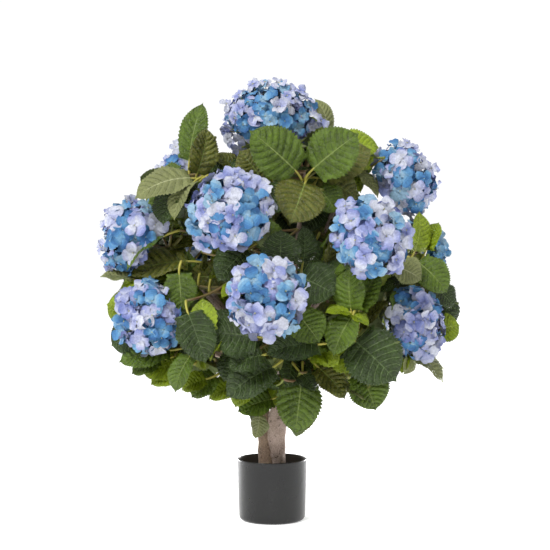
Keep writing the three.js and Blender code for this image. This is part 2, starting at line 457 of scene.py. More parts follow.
@dataclass(frozen=True)
class SepalCloth:
    """Thin dyed polyester of a sepal, matt with a faint sheen."""

    name: str
    colour: str
    mottle: float = 0.17

    def make(self) -> bpy.types.Material:
        """Builds the material.

        Returns:
            The material.
        """
        graph = Graph(self.name)
        blotch = graph.ramp(graph.noise(260, 3, 0.6), 0.34, 0.66)
        thread = graph.noise(420, 3, 0.6)
        return graph.finish(
            Base_Color=graph.mottled(blotch, self.colour, self.mottle),
            Roughness=0.62 + 0.15 * blotch,
            Specular_IOR_Level=0.25,
            Sheen_Weight=0.15,
            Sheen_Roughness=0.5,
            Normal=graph.bump(thread, 0.0012, 0.9),
        )


@dataclass(frozen=True)
class BarkFinish:
    """Grey-brown bark, speckled and cracked along the stem."""

    name: str = "bark"
    pale: str = "#a39086"
    brown: str = "#7a675d"
    dark: str = "#4a3a32"

    def make(self) -> bpy.types.Material:
        """Builds the material.

        Returns:
            The material.
        """
        graph = Graph(self.name)
        broad = graph.ramp(graph.noise(30, 3), 0.35, 0.65)
        speckle = graph.ramp(graph.noise(430, 4, 0.75), 0.44, 0.58)
        crack = graph.ramp(graph.noise(150, 4, 0.7), 0.3, 0.42)
        ground = graph.mix(broad, linear(self.brown), linear(self.pale))
        spotted = graph.mix(speckle * 0.7, ground, shaded(self.pale, 1.45))
        tone = graph.mix(crack, linear(self.dark), spotted)
        return graph.finish(
            Base_Color=tone,
            Roughness=0.7 + 0.2 * speckle,
            Specular_IOR_Level=0.3,
            Normal=graph.bump(speckle * 0.4 + crack * 0.6, 0.0012, 0.8),
        )


@dataclass(frozen=True)
class StalkCoat:
    """Soft plastic over the wire of a stalk."""

    name: str
    colour: str
    tint: str

    def make(self) -> bpy.types.Material:
        """Builds the material.

        Returns:
            The material.
        """
        graph = Graph(self.name)
        blotch = graph.ramp(graph.noise(45, 2), 0.35, 0.65)
        return graph.finish(
            Base_Color=graph.mix(blotch, linear(self.colour), linear(self.tint)),
            Roughness=0.45 + 0.15 * blotch,
            Normal=graph.bump(graph.noise(600, 2), 0.0003, 0.5),
        )


@dataclass(frozen=True)
class PotPlastic:
    """Black moulded plastic with a satin skin."""

    name: str = "pot_plastic"
    colour: str = "#0e0e0e"
    worn: str = "#161616"
    gloss: float = 0.22
    shine: float = 0.4

    def make(self) -> bpy.types.Material:
        """Builds the material.

        Returns:
            The material.
        """
        graph = Graph(self.name)
        cloud = graph.ramp(graph.noise(14, 3), 0.3, 0.7)
        grain = graph.noise(2600, 1)
        return graph.finish(
            Base_Color=graph.mix(cloud, linear(self.colour), linear(self.worn)),
            Roughness=self.gloss + 0.1 * cloud,
            Specular_IOR_Level=self.shine,
            Normal=graph.bump(grain, 0.00012, 0.5),
        )


@dataclass(frozen=True)
class CementFinish:
    """Dark, coarse cement."""

    name: str = "pot_fill"
    dark: str = "#231f1b"
    pale: str = "#4a433b"

    def make(self) -> bpy.types.Material:
        """Builds the material.

        Returns:
            The material.
        """
        graph = Graph(self.name)
        grit = graph.ramp(graph.noise(260, 5, 0.7), 0.35, 0.7)
        broad = graph.noise(40, 2)
        return graph.finish(
            Base_Color=graph.mix(grit, linear(self.dark), linear(self.pale)),
            Roughness=0.85 + 0.1 * broad,
            Normal=graph.bump(grit, 0.0015, 0.8),
        )


@dataclass(frozen=True)
class FloorFinish:
    """White studio paper."""

    name: str = "studio_floor"
    colour: str = "#fbfbfb"
    glow: float = 0.34

    def make(self) -> bpy.types.Material:
        """Builds the material.

        Returns:
            The material.
        """
        graph = Graph(self.name)
        return graph.finish(Base_Color=linear(self.colour), Roughness=0.9, Specular_IOR_Level=0.1,
                            Emission_Color=linear(self.colour), Emission_Strength=self.glow)


LEAF_FINISHES = (
    LeafCloth("leaf_deep", "#27390a", 0.17, 0.5, 0.006, 0.42),
    LeafCloth("leaf_mid", "#4b6011"),
    LeafCloth("leaf_fresh", "#768810", 0.28),
    LeafCloth("leaf_olive", "#575a1c"),
    LeafCloth("leaf_pale", "#74794a", 0.4, 0.26),
    LeafCloth("rib_green", "#6f7d3c", 0.5, 0.1, 0.0002),
    LeafCloth("rib_fresh", "#96a544", 0.5, 0.1, 0.0002),
    LeafCloth("rib_pale", "#a0a37c", 0.5, 0.1, 0.0002),
    LeafCloth("leaf_back", "#5a6638", 0.58, 0.12),
    LeafCloth("leaf_back_fresh", "#7c8a32", 0.58, 0.12),
    # The side veins of vein_mid_painted_groove_shade, vein_fresh_painted_groove_shade and
    # vein_pale_painted_groove_shade are darker than their blades: painted shade in the sunken vein
    # grooves. vein_deep is a paler vein on the deep blade.
    LeafCloth("vein_mid_painted_groove_shade", "#364a10"),
    LeafCloth("vein_fresh_painted_groove_shade", "#64780f"),
    LeafCloth("vein_deep", "#4b5c32"),
    LeafCloth("vein_pale_painted_groove_shade", "#5d6438"),
)

LILAC_RAMP = ("#b1b4c1", "#979cbb", "#7c84b1", "#5f6a9f")
BLUE_RAMP = ("#7d9cb2", "#5283ab", "#3b6c9c", "#2d5688", "#203b60")
LILAC_STEPS = 7
BLUE_STEPS = 8


def blend_codes(anchors: tuple[str, ...], count: int) -> list[str]:
    """Spreads a colour ramp over a number of dye lots.

    Args:
        anchors: colour codes at even distances.
        count: how many lots.

    Returns:
        One colour code for each lot.
    """
    table = np.array([[int(code[i:i + 2], 16) for i in (1, 3, 5)] for code in anchors], float)
    places = np.linspace(0, len(anchors) - 1, count)
    rows = np.stack([np.interp(places, range(len(anchors)), table[:, k]) for k in range(3)], 1)
    return ["#" + "".join(f"{round(v):02x}" for v in row) for row in rows]


BLOOM_FINISHES = (
    *(SepalCloth(f"sepal_{name}_{k}", code)
      for name, ramp, steps in (("lilac", LILAC_RAMP, LILAC_STEPS), ("blue", BLUE_RAMP, BLUE_STEPS))
      for k, code in enumerate(blend_codes(ramp, steps))),
    SepalCloth("floret_eye", "#a3a578"),
    StalkCoat("floret_stalk", "#7d8a45", "#9a9a55"),
)


class Green(Enum):
    """The dye lots of the leaves: the slots of blade, midrib, underside and side veins. The
    side-vein finish is darker than the blade in all but DEEP, a painted shade in the vein grooves.
    """

    DEEP = (0, 12, 8, 12)
    MID = (1, 5, 8, 10)
    FRESH = (2, 6, 9, 11)
    OLIVE = (3, 5, 8, 10)
    PALE = (4, 7, 9, 13)


class Series(Enum):
    """The tones of a sepal from the eye to the tip, as slots of a bloom."""

    WHITE = (0, 0, 1, 1, 2)
    LILAC = (1, 1, 2, 3, 4)
    VIOLET = (2, 3, 4, 5, 5)
    ICE = (1, 7, 7, 8, 8)
    SKY = (7, 8, 9, 9, 10)
    BLUE = (8, 9, 10, 11, 11)
    # This lot dyes only the innermost shell, as painted shade deep in the bloom.
    NAVY_DEPTH_SHADE = (10, 11, 12, 13, 13)


EYE_SLOT = LILAC_STEPS + BLUE_STEPS
STALK_SLOT = EYE_SLOT + 1


# ---- layout


@dataclass(frozen=True)
class Layout:
    """The front layout: squares on a sheet through the trunk, seen from the eye."""

    eye: Triple = (5.8, -2400.0, 492.0)
    square: float = 2.022
    middle: float = 275.0

    def place(self, across: float, down: float, depth: float) -> np.ndarray:
        """Finds the point at a depth that is seen in a square.

        Args:
            across: squares from the sheet's left edge.
            down: squares from its top edge.
            depth: the point's y in mm.

        Returns:
            The point in mm.
        """
        eye = np.array(self.eye)
        right, up = (across - self.middle) * self.square, (self.middle - down) * self.square
        sheet = eye + (right, -eye[1], up)
        return eye + (sheet - eye) * ((depth - eye[1]) / -eye[1])

    def seen(self, points: np.ndarray) -> np.ndarray:
        """Finds the squares in which points are seen.

        Args:
            points: rows of points in mm.

        Returns:
            Rows of squares across and down.
        """
        eye = np.array(self.eye)
        away = points - eye
        share = -eye[1] / away[:, 1] / self.square
        return np.stack([self.middle + away[:, 0] * share, self.middle - away[:, 2] * share], 1)


LAYOUT = Layout()
EYE = np.array(LAYOUT.eye)


@dataclass(frozen=True)
class Leaf:
    """One leaf of the front layout.

    Foot and tip are squares of the layout. Near and far are the depths of foot and tip in mm. Wide
    is the blade's width in mm. Turn is how far, in degrees, the face rolls away from the viewer:
    up, or to the right where the leaf stands upright. Arch is the rise of its back and fold the
    slope of its halves, as shares.
    """

    foot: Pair
    tip: Pair
    wide: float
    near: float
    far: float
    green: Green
    turn: float = 12.0
    arch: float = 0.07
    fold: float = 0.23


D, M, F, O, P = Green.DEEP, Green.MID, Green.FRESH, Green.OLIVE, Green.PALE

FRONT_LEAVES = tuple(Leaf(*row) for row in (
    # the whorl below the top bloom
    ((296, 171), (249, 130), 98, -166, -205, M, 10),
    ((313, 169), (359, 133), 98, -162, -178, M, 14),
    ((305, 183), (290, 224), 98, -160, -218, O, 0, 0.08, 0.08),
    ((322, 176), (372, 148), 84, -100, -96, O, 26),
    ((335, 146), (380, 148), 70, -70, -60, F, 36),
    ((328, 132), (315, 98), 38, -14, -8, P, 40, 0.14),
    ((318, 188), (337, 213), 66, -120, -132, M, 30),
    ((318, 178), (359, 199), 74, -100, -92, O, 35),
    ((357, 171), (379, 197), 46, -58, -66, P, 60),
    ((346, 170), (361, 193), 48, -44, -48, F, 45),
    ((262, 180), (239, 150), 74, -70, -84, O, 20),
    ((206, 173), (253, 167), 62, -60, -62, D, 62),
    ((280, 168), (300, 150), 60, -60, -66, D, 40),
    # the whorl of the upper left
    ((189, 161), (203, 102), 58, -62, -40, M, -20, 0.1, 0.24),
    ((197, 174), (207, 127), 60, -92, -84, O, 22, 0.1, 0.3),
    ((240, 169), (212, 156), 48, -50, -58, O, 48),
    ((191, 178), (134, 199), 84, -112, -130, P, 52, 0.12, 0.1),
    ((177, 186), (163, 226), 70, -100, -122, D, 48, 0.1),
    ((193, 182), (174, 221), 58, -120, -150, P, 60, 0.12),
    ((199, 181), (184, 207), 56, -112, -126, D, 55),
    ((180, 174), (156, 178), 60, -50, -30, M, 50),
    # left
    ((168, 246), (199, 243), 56, -44, -40, O, 60),
    ((165, 235), (126, 271), 70, -98, -110, M, 74, 0.1),
    ((188, 261), (128, 276), 84, -80, -76, O, 52, 0.08),
    ((134, 279), (100, 276), 62, -74, -70, P, 66),
    ((168, 275), (118, 289), 70, -70, -74, F, 66),
    ((141, 312), (106, 304), 82, -62, -56, F, 22),
    ((179, 273), (182, 313), 64, -128, -142, M, 0, 0.05, 0.06),
    ((138, 332), (111, 346), 74, -74, -70, D, 20),
    ((170, 350), (118, 362), 78, -88, -92, M, 42),
    ((184, 365), (141, 372), 76, -70, -70, F, 38),
    ((190, 356), (175, 393), 54, -146, -158, M, 40, 0.1, 0.3),
    ((206, 379), (181, 390), 58, -108, -112, F, 50),
    ((216, 376), (191, 398), 64, -100, -106, M, 40),
    ((160, 360), (131, 374), 62, -84, -90, M, 50),
    ((184, 368), (150, 385), 66, -76, -82, F, 40),
    ((237, 384), (208, 399), 68, -98, -104, F, 46),
    ((322, 208), (304, 232), 64, -40, -44, D, 30),
    ((282, 212), (294, 238), 60, -30, -34, D, 30),
    ((288, 188), (264, 212), 70, -80, -92, D, 20),
    ((260, 184), (277, 220), 62, -58, -60, O, 30),
    ((242, 352), (223, 382), 62, -132, -144, D, 30),
    ((316, 240), (303, 274), 64, -60, -64, D, 30),
    ((250, 382), (235, 408), 58, -94, -102, F, 40),
    # centre
    ((188, 313), (206, 364), 74, -184, -200, D, 10),
    ((257, 337), (210, 332), 92, -166, -176, D, 10),
    ((221, 341), (210, 361), 44, -172, -182, F, 70),
    ((247, 249), (217, 282), 76, -150, -168, D, 22),
    ((238, 284), (221, 298), 46, -136, -142, F, 58),
    ((280, 263), (281, 229), 74, -205, -228, D, 8),
    ((303, 263), (303, 225), 62, -176, -190, D, 40),
    ((300, 277), (336, 295), 88, -190, -206, D, 15),
    ((297, 313), (320, 343), 74, -206, -222, M, 12),
    ((318, 344), (265, 354), 76, -216, -238, D, 34, 0.1),
    ((273, 367), (225, 397), 80, -150, -172, D, 24, 0.1),
    ((263, 355), (227, 367), 66, -172, -184, D, 30),
    ((272, 399), (237, 412), 64, -88, -98, M, 32),
    ((259, 415), (255, 439), 52, -54, -62, P, 46),
    ((302, 377), (295, 435), 88, -104, -120, M, 0, 0.1, 0.1),
    ((302, 374), (315, 391), 46, -112, -122, D, 35),
    ((318, 367), (346, 399), 66, -96, -108, O, 32),
    # right
    ((361, 374), (376, 411), 84, -86, -98, M, 22),
    ((344, 385), (366, 400), 46, -98, -106, P, 62),
    ((355, 341), (397, 382), 116, -186, -212, D, 14, 0.08),
    ((352, 316), (333, 356), 66, -206, -222, M, 28, 0.09),
    ((351, 310), (350, 267), 68, -198, -206, M, -24, 0.08),
    ((359, 310), (379, 272), 66, -190, -184, M, 38),
    ((350, 312), (325, 312), 44, -202, -214, F, 60),
    ((351, 314), (369, 326), 44, -202, -212, F, 60),
    ((362, 328), (389, 300), 58, -150, -146, O, 60),
    ((398, 313), (392, 291), 52, -130, -134, M, 58),
    ((402, 281), (377, 293), 52, -120, -128, D, 62),
    ((396, 267), (422, 280), 72, -126, -132, P, 42, 0.08, 0.2),
    ((418, 262), (448, 293), 70, -84, -88, M, 26, 0.08),
    ((436, 289), (454, 307), 60, -58, -58, D, 42),
    ((413, 274), (441, 301), 74, -40, -36, O, 26),
    ((435, 331), (460, 325), 66, -58, -54, F, 24),
    ((411, 346), (401, 374), 52, -98, -104, F, 52),
    ((410, 354), (404, 375), 46, -106, -112, P, 56),
    ((411, 350), (444, 382), 70, -88, -84, P, 62),
    ((415, 251), (420, 211), 62, -66, -60, F, 48),
    ((426, 250), (439, 222), 62, -38, -30, F, 44),
    ((325, 273), (331, 234), 48, -148, -154, O, 60),
    ((321, 271), (326, 242), 44, -142, -148, F, 68),
    ((211, 279), (213, 249), 46, -118, -124, F, 70),
    ((200, 273), (203, 249), 46, -108, -112, O, 70),
))

SKY = (
    (193, 252, 5), (364, 192, 7), (195, 190, 3), (328, 308, 3), (340, 303, 3), (158, 297, 2),
    (215, 112, 8), (217, 126, 7), (219, 146, 6), (217, 138, 4), (158, 393, 6), (446, 356, 9),
    (467, 318, 8), (464, 333, 6), (421, 372, 9), (399, 380, 8), (276, 432, 14), (281, 418, 9),
    (356, 404, 6), (375, 134, 6), (206, 124, 7), (459, 313, 4), (357, 124, 4),
)


# ---- crown tables


@dataclass(frozen=True)
class Mass:
    """A mass of foliage: its node, centre and reach in mm."""

    name: str
    centre: Triple
    reach: float


@dataclass(frozen=True)
class Dome:
    """A bloom: its node, centre, radius, half thickness and the way it faces."""

    name: str
    centre: Triple
    radius: float
    half: float
    facing: Triple


@dataclass(frozen=True)
class Bough:
    """A bough: its node, its stem, the height it leaves at and the mass it enters."""

    name: str
    stem: str
    height: float
    mass: str


CROWN_HEART = (10.0, 0.0, 430.0)
CROWN_MIDDLE = (10.0, 0.0, 500.0)
CROWN_REACH = (340.0, 320.0, 360.0)

# Degrees above the horizon, how many looks round the crown and the first one's angle.
LOOKS = ((8, 8, 22.5), (45, 4, 0.0), (88, 1, 0.0), (-30, 4, 45.0))


def grouped(piece: str, node: str, rows: tuple[Words, ...]) -> tuple[Group, ...]:
    """Names pieces and the nodes they stand for.

    Args:
        piece: the first word of the pieces' names.
        node: the first word of the nodes' names.
        rows: the rest of each piece's name, and of its nodes' names with spaces between them.

    Returns:
        Each piece's name and its nodes.
    """
    return tuple((f"{piece}_{level}", tuple(f"{node}_{word}" for word in words.split()))
                 for level, words in rows)


MASSES = tuple(Mass(f"leaves_{name}", centre, reach) for name, centre, reach in (
    ("top_front", (62, -140, 690), 118),
    ("upper_left", (-142, -78, 690), 118),
    ("top", (20, 15, 728), 118),
    ("upper_right", (150, -30, 690), 108),
    ("left", (-205, -45, 545), 112),
    ("centre_left", (-84, -172, 572), 104),
    ("mid_front", (18, -200, 498), 88),
    ("centre_right", (160, -158, 512), 108),
    ("right", (268, -40, 528), 108),
    ("low_left", (-210, -50, 380), 122),
    ("low_front_left", (-112, -150, 345), 104),
    ("low_front", (25, -150, 330), 104),
    ("low_right", (155, -140, 352), 108),
    ("right_low", (262, -15, 388), 108),
    ("skirt", (12, -62, 246), 78),
    ("back_top", (-70, 130, 700), 106),
    ("back_upper_right", (165, 130, 636), 110),
    ("back_left", (-215, 100, 590), 108),
    ("back_mid", (-62, 195, 562), 112),
    ("back_right", (212, 158, 505), 108),
    ("back_low_left", (-150, 170, 385), 120),
    ("back_low", (30, 192, 372), 112),
    ("back_low_right", (160, 120, 345), 112),
))

DOMES = tuple(Dome(f"bloom_{name}", *form) for name, *form in (
    ("top", (-5, -30, 799), 92, 70, (0, -0.35, 0.94)),
    ("upper_left_back", (-186, 130, 706), 64, 52, (-0.5, 0.4, 0.75)),
    ("upper_right", (262, -20, 682), 77, 63, (0.8, -0.45, 0.45)),
    ("left", (-274, -60, 569), 77, 62, (-0.8, -0.55, 0.2)),
    ("centre_left", (-75, -252, 608), 81, 64, (-0.2, -0.93, 0.3)),
    ("centre_right", (179, -235, 557), 78, 62, (0.5, -0.83, 0.25)),
    ("lower_left", (-234, -120, 409), 73, 58, (-0.6, -0.8, -0.1)),
    ("low_front", (-10, -280, 451), 76, 60, (-0.02, -0.98, 0.1)),
    ("lower_right", (275, -110, 398), 72, 56, (0.75, -0.65, -0.05)),
    ("right_back", (306, 115, 540), 68, 54, (0.85, 0.48, 0.2)),
    ("back_high", (88, 212, 688), 78, 60, (0.3, 0.85, 0.45)),
    ("back_left", (-140, 250, 572), 78, 60, (-0.4, 0.88, 0.2)),
    ("back_low", (30, 277, 444), 76, 60, (0.05, 0.98, 0.1)),
    ("left_back_low", (-262, 140, 440), 72, 56, (-0.8, 0.55, 0.05)),
    ("right_back_low", (212, 222, 420), 74, 56, (0.6, 0.78, 0.05)),
))
W, L, V = Series.WHITE, Series.LILAC, Series.VIOLET
I, S, B, N = Series.ICE, Series.SKY, Series.BLUE, Series.NAVY_DEPTH_SHADE

# Squares across and down, half the span in squares, and the dye lot.
FRONT_FLORETS = {
    "bloom_top": (
        (279, 107, 10, W), (263, 98, 9, S), (250, 93, 8, B), (241, 108, 8, L), (255, 118, 9, L),
        (301, 116, 8, S), (293, 93, 8, S), (262, 86, 8, I), (279, 83, 8, W), (234, 103, 8, W),
        (235, 118, 8, L), (243, 125, 7, B), (242, 138, 9, W), (307, 98, 9, L), (311, 126, 8, L),
        (303, 138, 8, W), (285, 121, 7, B), (297, 129, 8, I), (253, 84, 7, L), (289, 87, 7, W),
        (271, 93, 7, B), (290, 107, 7, W), (228, 129, 8, L), (230, 140, 8, W), (238, 149, 8, L),
        (226, 131, 7, V), (229, 116, 8, L), (227, 104, 8, W), (321, 121, 8, L), (239, 95, 8, L),
        (265, 82, 7, W), (301, 92, 8, L), (309, 106, 8, S), (248, 102, 7, B), (261, 108, 8, B),
        (296, 104, 7, L), (315, 112, 8, W), (270, 122, 7, I), (310, 143, 7, L), (265, 116, 7, S),
        (287, 96, 7, L),
    ),
    "bloom_centre_left": (
        (224, 177, 11, L), (243, 182, 11, L), (259, 187, 11, W), (213, 192, 10, S),
        (230, 198, 12, W), (248, 200, 10, S), (266, 198, 8, L), (266, 212, 11, W),
        (250, 216, 11, B), (195, 212, 9, I), (205, 210, 10, L), (218, 214, 10, W), (233, 215, 9, V),
        (196, 228, 10, S), (208, 223, 9, W), (221, 227, 10, B), (248, 232, 11, S),
        (235, 236, 10, L), (263, 231, 9, W), (204, 243, 10, L), (222, 243, 10, V), (236, 175, 8, L),
        (212, 201, 8, I),
    ),
    "bloom_centre_right": (
        (345, 206, 11, L), (365, 202, 10, I), (361, 213, 10, B), (384, 209, 13, W),
        (396, 223, 11, I), (406, 230, 9, L), (339, 225, 9, S), (351, 221, 10, L), (366, 226, 10, V),
        (338, 238, 9, V), (387, 236, 12, L), (401, 243, 11, L), (372, 237, 8, B), (355, 240, 10, V),
        (349, 255, 10, S), (364, 256, 12, L), (383, 253, 10, B), (376, 268, 9, S),
        (396, 260, 10, L), (361, 271, 9, L),
    ),
    "bloom_low_front": (
        (241, 275, 11, L), (258, 266, 11, S), (254, 279, 11, B), (274, 271, 13, W),
        (284, 262, 9, L), (295, 276, 12, I), (237, 290, 9, V), (251, 293, 12, B), (272, 289, 11, V),
        (286, 291, 10, I), (238, 310, 13, L), (255, 313, 11, L), (295, 300, 11, L),
        (270, 319, 11, L), (289, 313, 11, S), (249, 325, 10, L), (274, 329, 13, W),
        (291, 326, 8, I),
    ),
    "bloom_left": (
        (121, 208, 9, S), (132, 202, 9, L), (148, 208, 11, I), (159, 213, 8, S), (116, 220, 13, W),
        (135, 225, 11, L), (155, 225, 13, W), (146, 237, 10, B), (110, 241, 9, B),
        (121, 239, 11, B), (101, 247, 8, W), (133, 253, 11, W), (111, 258, 10, B), (121, 264, 9, S),
        (112, 271, 8, L), (110, 211, 7, L), (105, 226, 8, L), (106, 263, 8, L),
    ),
    "bloom_lower_left": (
        (138, 288, 10, L), (152, 284, 10, S), (161, 291, 9, L), (125, 296, 10, V), (136, 299, 9, B),
        (152, 301, 12, S), (129, 311, 9, V), (124, 321, 10, B), (137, 322, 11, W),
        (152, 315, 12, L), (171, 312, 10, L), (177, 328, 10, S), (163, 330, 9, B),
        (122, 334, 10, S), (140, 339, 11, L), (152, 332, 8, B), (134, 346, 9, V), (159, 348, 10, W),
        (181, 324, 8, B), (174, 304, 8, L), (179, 336, 7, S),
    ),
    "bloom_upper_right": (
        (396, 146, 9, B), (407, 143, 8, W), (413, 151, 8, L), (376, 155, 10, L), (388, 157, 11, S),
        (402, 159, 11, W), (411, 157, 9, S), (421, 163, 9, W), (431, 169, 9, L), (380, 172, 9, B),
        (401, 177, 11, S), (424, 179, 10, S), (374, 186, 10, W), (386, 193, 10, L),
        (400, 191, 11, I), (415, 189, 10, W), (436, 189, 8, L), (398, 204, 10, W),
        (416, 204, 10, B), (428, 199, 9, L), (408, 215, 9, L), (389, 171, 8, L), (424, 208, 8, B),
    ),
    "bloom_lower_right": (
        (404, 290, 9, B), (401, 301, 9, B), (416, 293, 9, L), (397, 315, 10, W), (410, 308, 9, B),
        (424, 303, 10, L), (433, 313, 9, S), (414, 322, 10, V), (404, 332, 10, V),
        (428, 319, 10, L), (417, 336, 9, V), (431, 333, 11, L), (426, 351, 12, W), (410, 343, 8, B),
    ),
    "bloom_upper_left_back": (
        (176, 147, 8, W), (184, 154, 9, L), (172, 162, 9, B), (186, 164, 9, L), (161, 169, 8, W),
        (171, 156, 8, W), (176, 171, 8, L), (207, 153, 8, W), (199, 146, 7, L),
    ),
    "bloom_right_back": (
        (438, 238, 9, I), (436, 250, 10, S), (446, 250, 8, S), (443, 259, 9, B), (430, 240, 8, L),
    ),
}
BLOOM_PIECES = grouped("blooms", "bloom", (
    ("upper", "top upper_left_back upper_right back_high centre_left"),
    ("middle", "left centre_right right_back back_left low_front"),
    ("lower", "lower_left lower_right back_low left_back_low right_back_low"),
))
LEAF_PIECES = grouped("leaves", "leaves", (
    ("upper", "top_front upper_left top upper_right back_top back_upper_right"),
    ("middle", "left centre_left mid_front centre_right right back_left back_mid back_right"),
    ("lower", "low_left low_front_left low_front low_right "
              "right_low skirt back_low_left back_low back_low_right"),
))

BOUGHS = tuple(Bough(f"bough_{name}", stem, height, f"leaves_{mass}")
               for name, stem, height, mass in (
    ("top", "main", 462, "top"),
    ("top_front", "main", 446, "top_front"),
    ("upper_left", "side", 392, "upper_left"),
    ("upper_right", "main", 430, "upper_right"),
    ("left", "side", 372, "left"),
    ("centre_left", "side", 352, "centre_left"),
    ("centre_right", "main", 395, "centre_right"),
    ("right", "main", 372, "right"),
    ("low_left", "side", 312, "low_left"),
    ("low_front", "main", 330, "mid_front"),
    ("low_right", "main", 292, "low_right"),
    ("right_low", "main", 310, "right_low"),
    ("back_top", "side", 396, "back_top"),
    ("back_left", "side", 360, "back_left"),
    ("back_mid", "main", 412, "back_mid"),
    ("back_right", "main", 352, "back_right"),
    ("back_low_left", "side", 330, "back_low_left"),
    ("back_low", "main", 318, "back_low"),
))


# ---- pot and stems


@dataclass(frozen=True)
class Pot:
    """The round pot with its rolled rim, and the cement that weights it."""

    rim_radius: float = 70.5
    foot_radius: float = 66.5
    height: float = 122.0
    wall: float = 2.2
    foot_round: float = 7.0
    rim_round: float = 1.1
    floor: float = 3.0
    fill_top: float = 92.0
    gap: float = 0.35
    foot_flat: float = 20.0
    heel_gap: float = 8.0
    lip_gap: float = 4.0
    floor_gap: float = 5.0
    inside_round: float = 3.0
    sides: int = 160
    arc: int = 9
    rings: int = 8
    fill_sides: int = 72
    fill_rings: int = 14

    def wall_radius(self, height: float) -> float:
        """Finds the outside radius at a height."""
        return self.foot_radius + (self.rim_radius - self.foot_radius) * height / self.height

    def build_pot(self) -> bpy.types.Object:
        """Makes the shell: a flat foot, a rounded heel, straight walls and a rounded lip.

        Returns:
            The pot's object.
        """
        brim = self.height - self.lip_gap
        heel = [(self.foot_radius - self.foot_round * (1 - math.sin(a)),
                 self.foot_round * (1 - math.cos(a)))
                for a in np.linspace(0, math.pi / 2, self.arc)]
        walls = [(self.wall_radius(z), z)
                 for z in np.linspace(self.foot_round + self.heel_gap, brim, self.rings)]
        middle, top = self.rim_radius - self.wall / 2, self.height - self.rim_round
        lip = [(middle + self.rim_round * math.cos(a), top + self.rim_round * math.sin(a))
               for a in np.linspace(0, math.pi, self.arc)]
        inside = [(self.wall_radius(z) - self.wall, z)
                  for z in np.linspace(brim, self.floor + self.floor_gap, self.rings)]
        base = (self.foot_radius - self.wall - self.inside_round, self.floor)
        shape = lathe([(0, 0), (self.foot_radius - self.foot_flat, 0), *heel, *walls, *lip, *inside,
                       base, (0, self.floor)], self.sides)
        outer = len(heel) + len(walls) + len(lip)
        shape.quad_slots[outer * self.sides:] = 1
        shape.corner_slots[self.sides:] = 1
        bundle = Bundle("pot_shell")
        bundle.add(shape)
        # The inside wall takes a lighter, warmer copy of the black plastic: painted light on the
        # inside wall.
        inner = PotPlastic("pot_inside_painted_light", "#3d3b38", "#4b4843", 0.6, 0.2)
        return bundle.build([PotPlastic().make(), inner.make()])

    def build_fill(self, rng: np.random.Generator) -> bpy.types.Object:
        """Makes the cement, trowelled uneven on top.

        Args:
            rng: the source of its lumps.

        Returns:
            The cement's object.
        """
        edge = self.wall_radius(self.fill_top) - self.wall - self.gap
        low = self.wall_radius(self.floor) - self.wall - self.foot_round
        foot = self.floor + 0.5
        tops = [(r, self.fill_top) for r in np.linspace(edge - 1, 4, self.fill_rings)]
        shape = lathe([(0, foot), (low, foot), (low + 5, 14), (edge, self.fill_top - 2), *tops,
                       (0, self.fill_top)], self.fill_sides)
        top = shape.points[:, 2] > self.fill_top - 1
        lumps = ripple(shape.points, rng, 16) + ripple(shape.points, rng, 6) * 0.5
        shape.points[top, 2] += np.minimum(lumps[top], 0.6)
        bundle = Bundle("pot_cement")
        bundle.add(shape)
        return bundle.build([CementFinish().make()])


@dataclass(frozen=True)
class Knot:
    """A healed scar on a stem: its height, its angle, its rise in mm and its half width in mm."""

    height: float
    angle: float
    rise: float
    half: float


@dataclass(frozen=True)
class Stem:
    """A stem: rows of centre and radius from the cement upward, and its knots."""

    name: str
    rows: tuple[tuple[float, float, float, float], ...]
    knots: tuple[Knot, ...]

    def at(self, height: np.ndarray) -> np.ndarray:
        """Finds centre and radius at heights.

        Args:
            height: the heights in mm.

        Returns:
            Rows of x, y, z and radius.
        """
        table = np.array(self.rows)
        height = np.atleast_1d(height)
        columns = [np.interp(height, table[:, 2], table[:, k]) for k in (0, 1)]
        return np.stack([*columns, height, np.interp(height, table[:, 2], table[:, 3])], 1)


STEMS = {
    "main": Stem("main", (
        (8, 9, 14, 21.5), (8, 6, 100, 20), (9, -3, 168, 19.5), (16, -6, 232, 18), (27, -4, 290, 17),
        (38, 0, 380, 13), (40, 4, 470, 9),
    ), (
        Knot(176, -1.9, 2.6, 9), Knot(128, -1.1, 1.8, 8), Knot(208, -1.2, 2.2, 9),
        Knot(260, 2.2, 2.4, 9), Knot(300, -0.4, 2.2, 8),
    )),
    "side": Stem("side", (
        (-11, -9, 14, 18.5), (-11.5, -6, 100, 17), (-13, 5, 168, 15), (-22, 12, 240, 13.5),
        (-40, 14, 310, 12), (-58, 10, 400, 8.5),
    ), (Knot(150, -2.2, 2.2, 8), Knot(222, 2.8, 2.0, 8), Knot(285, -1.6, 1.8, 7))),
}


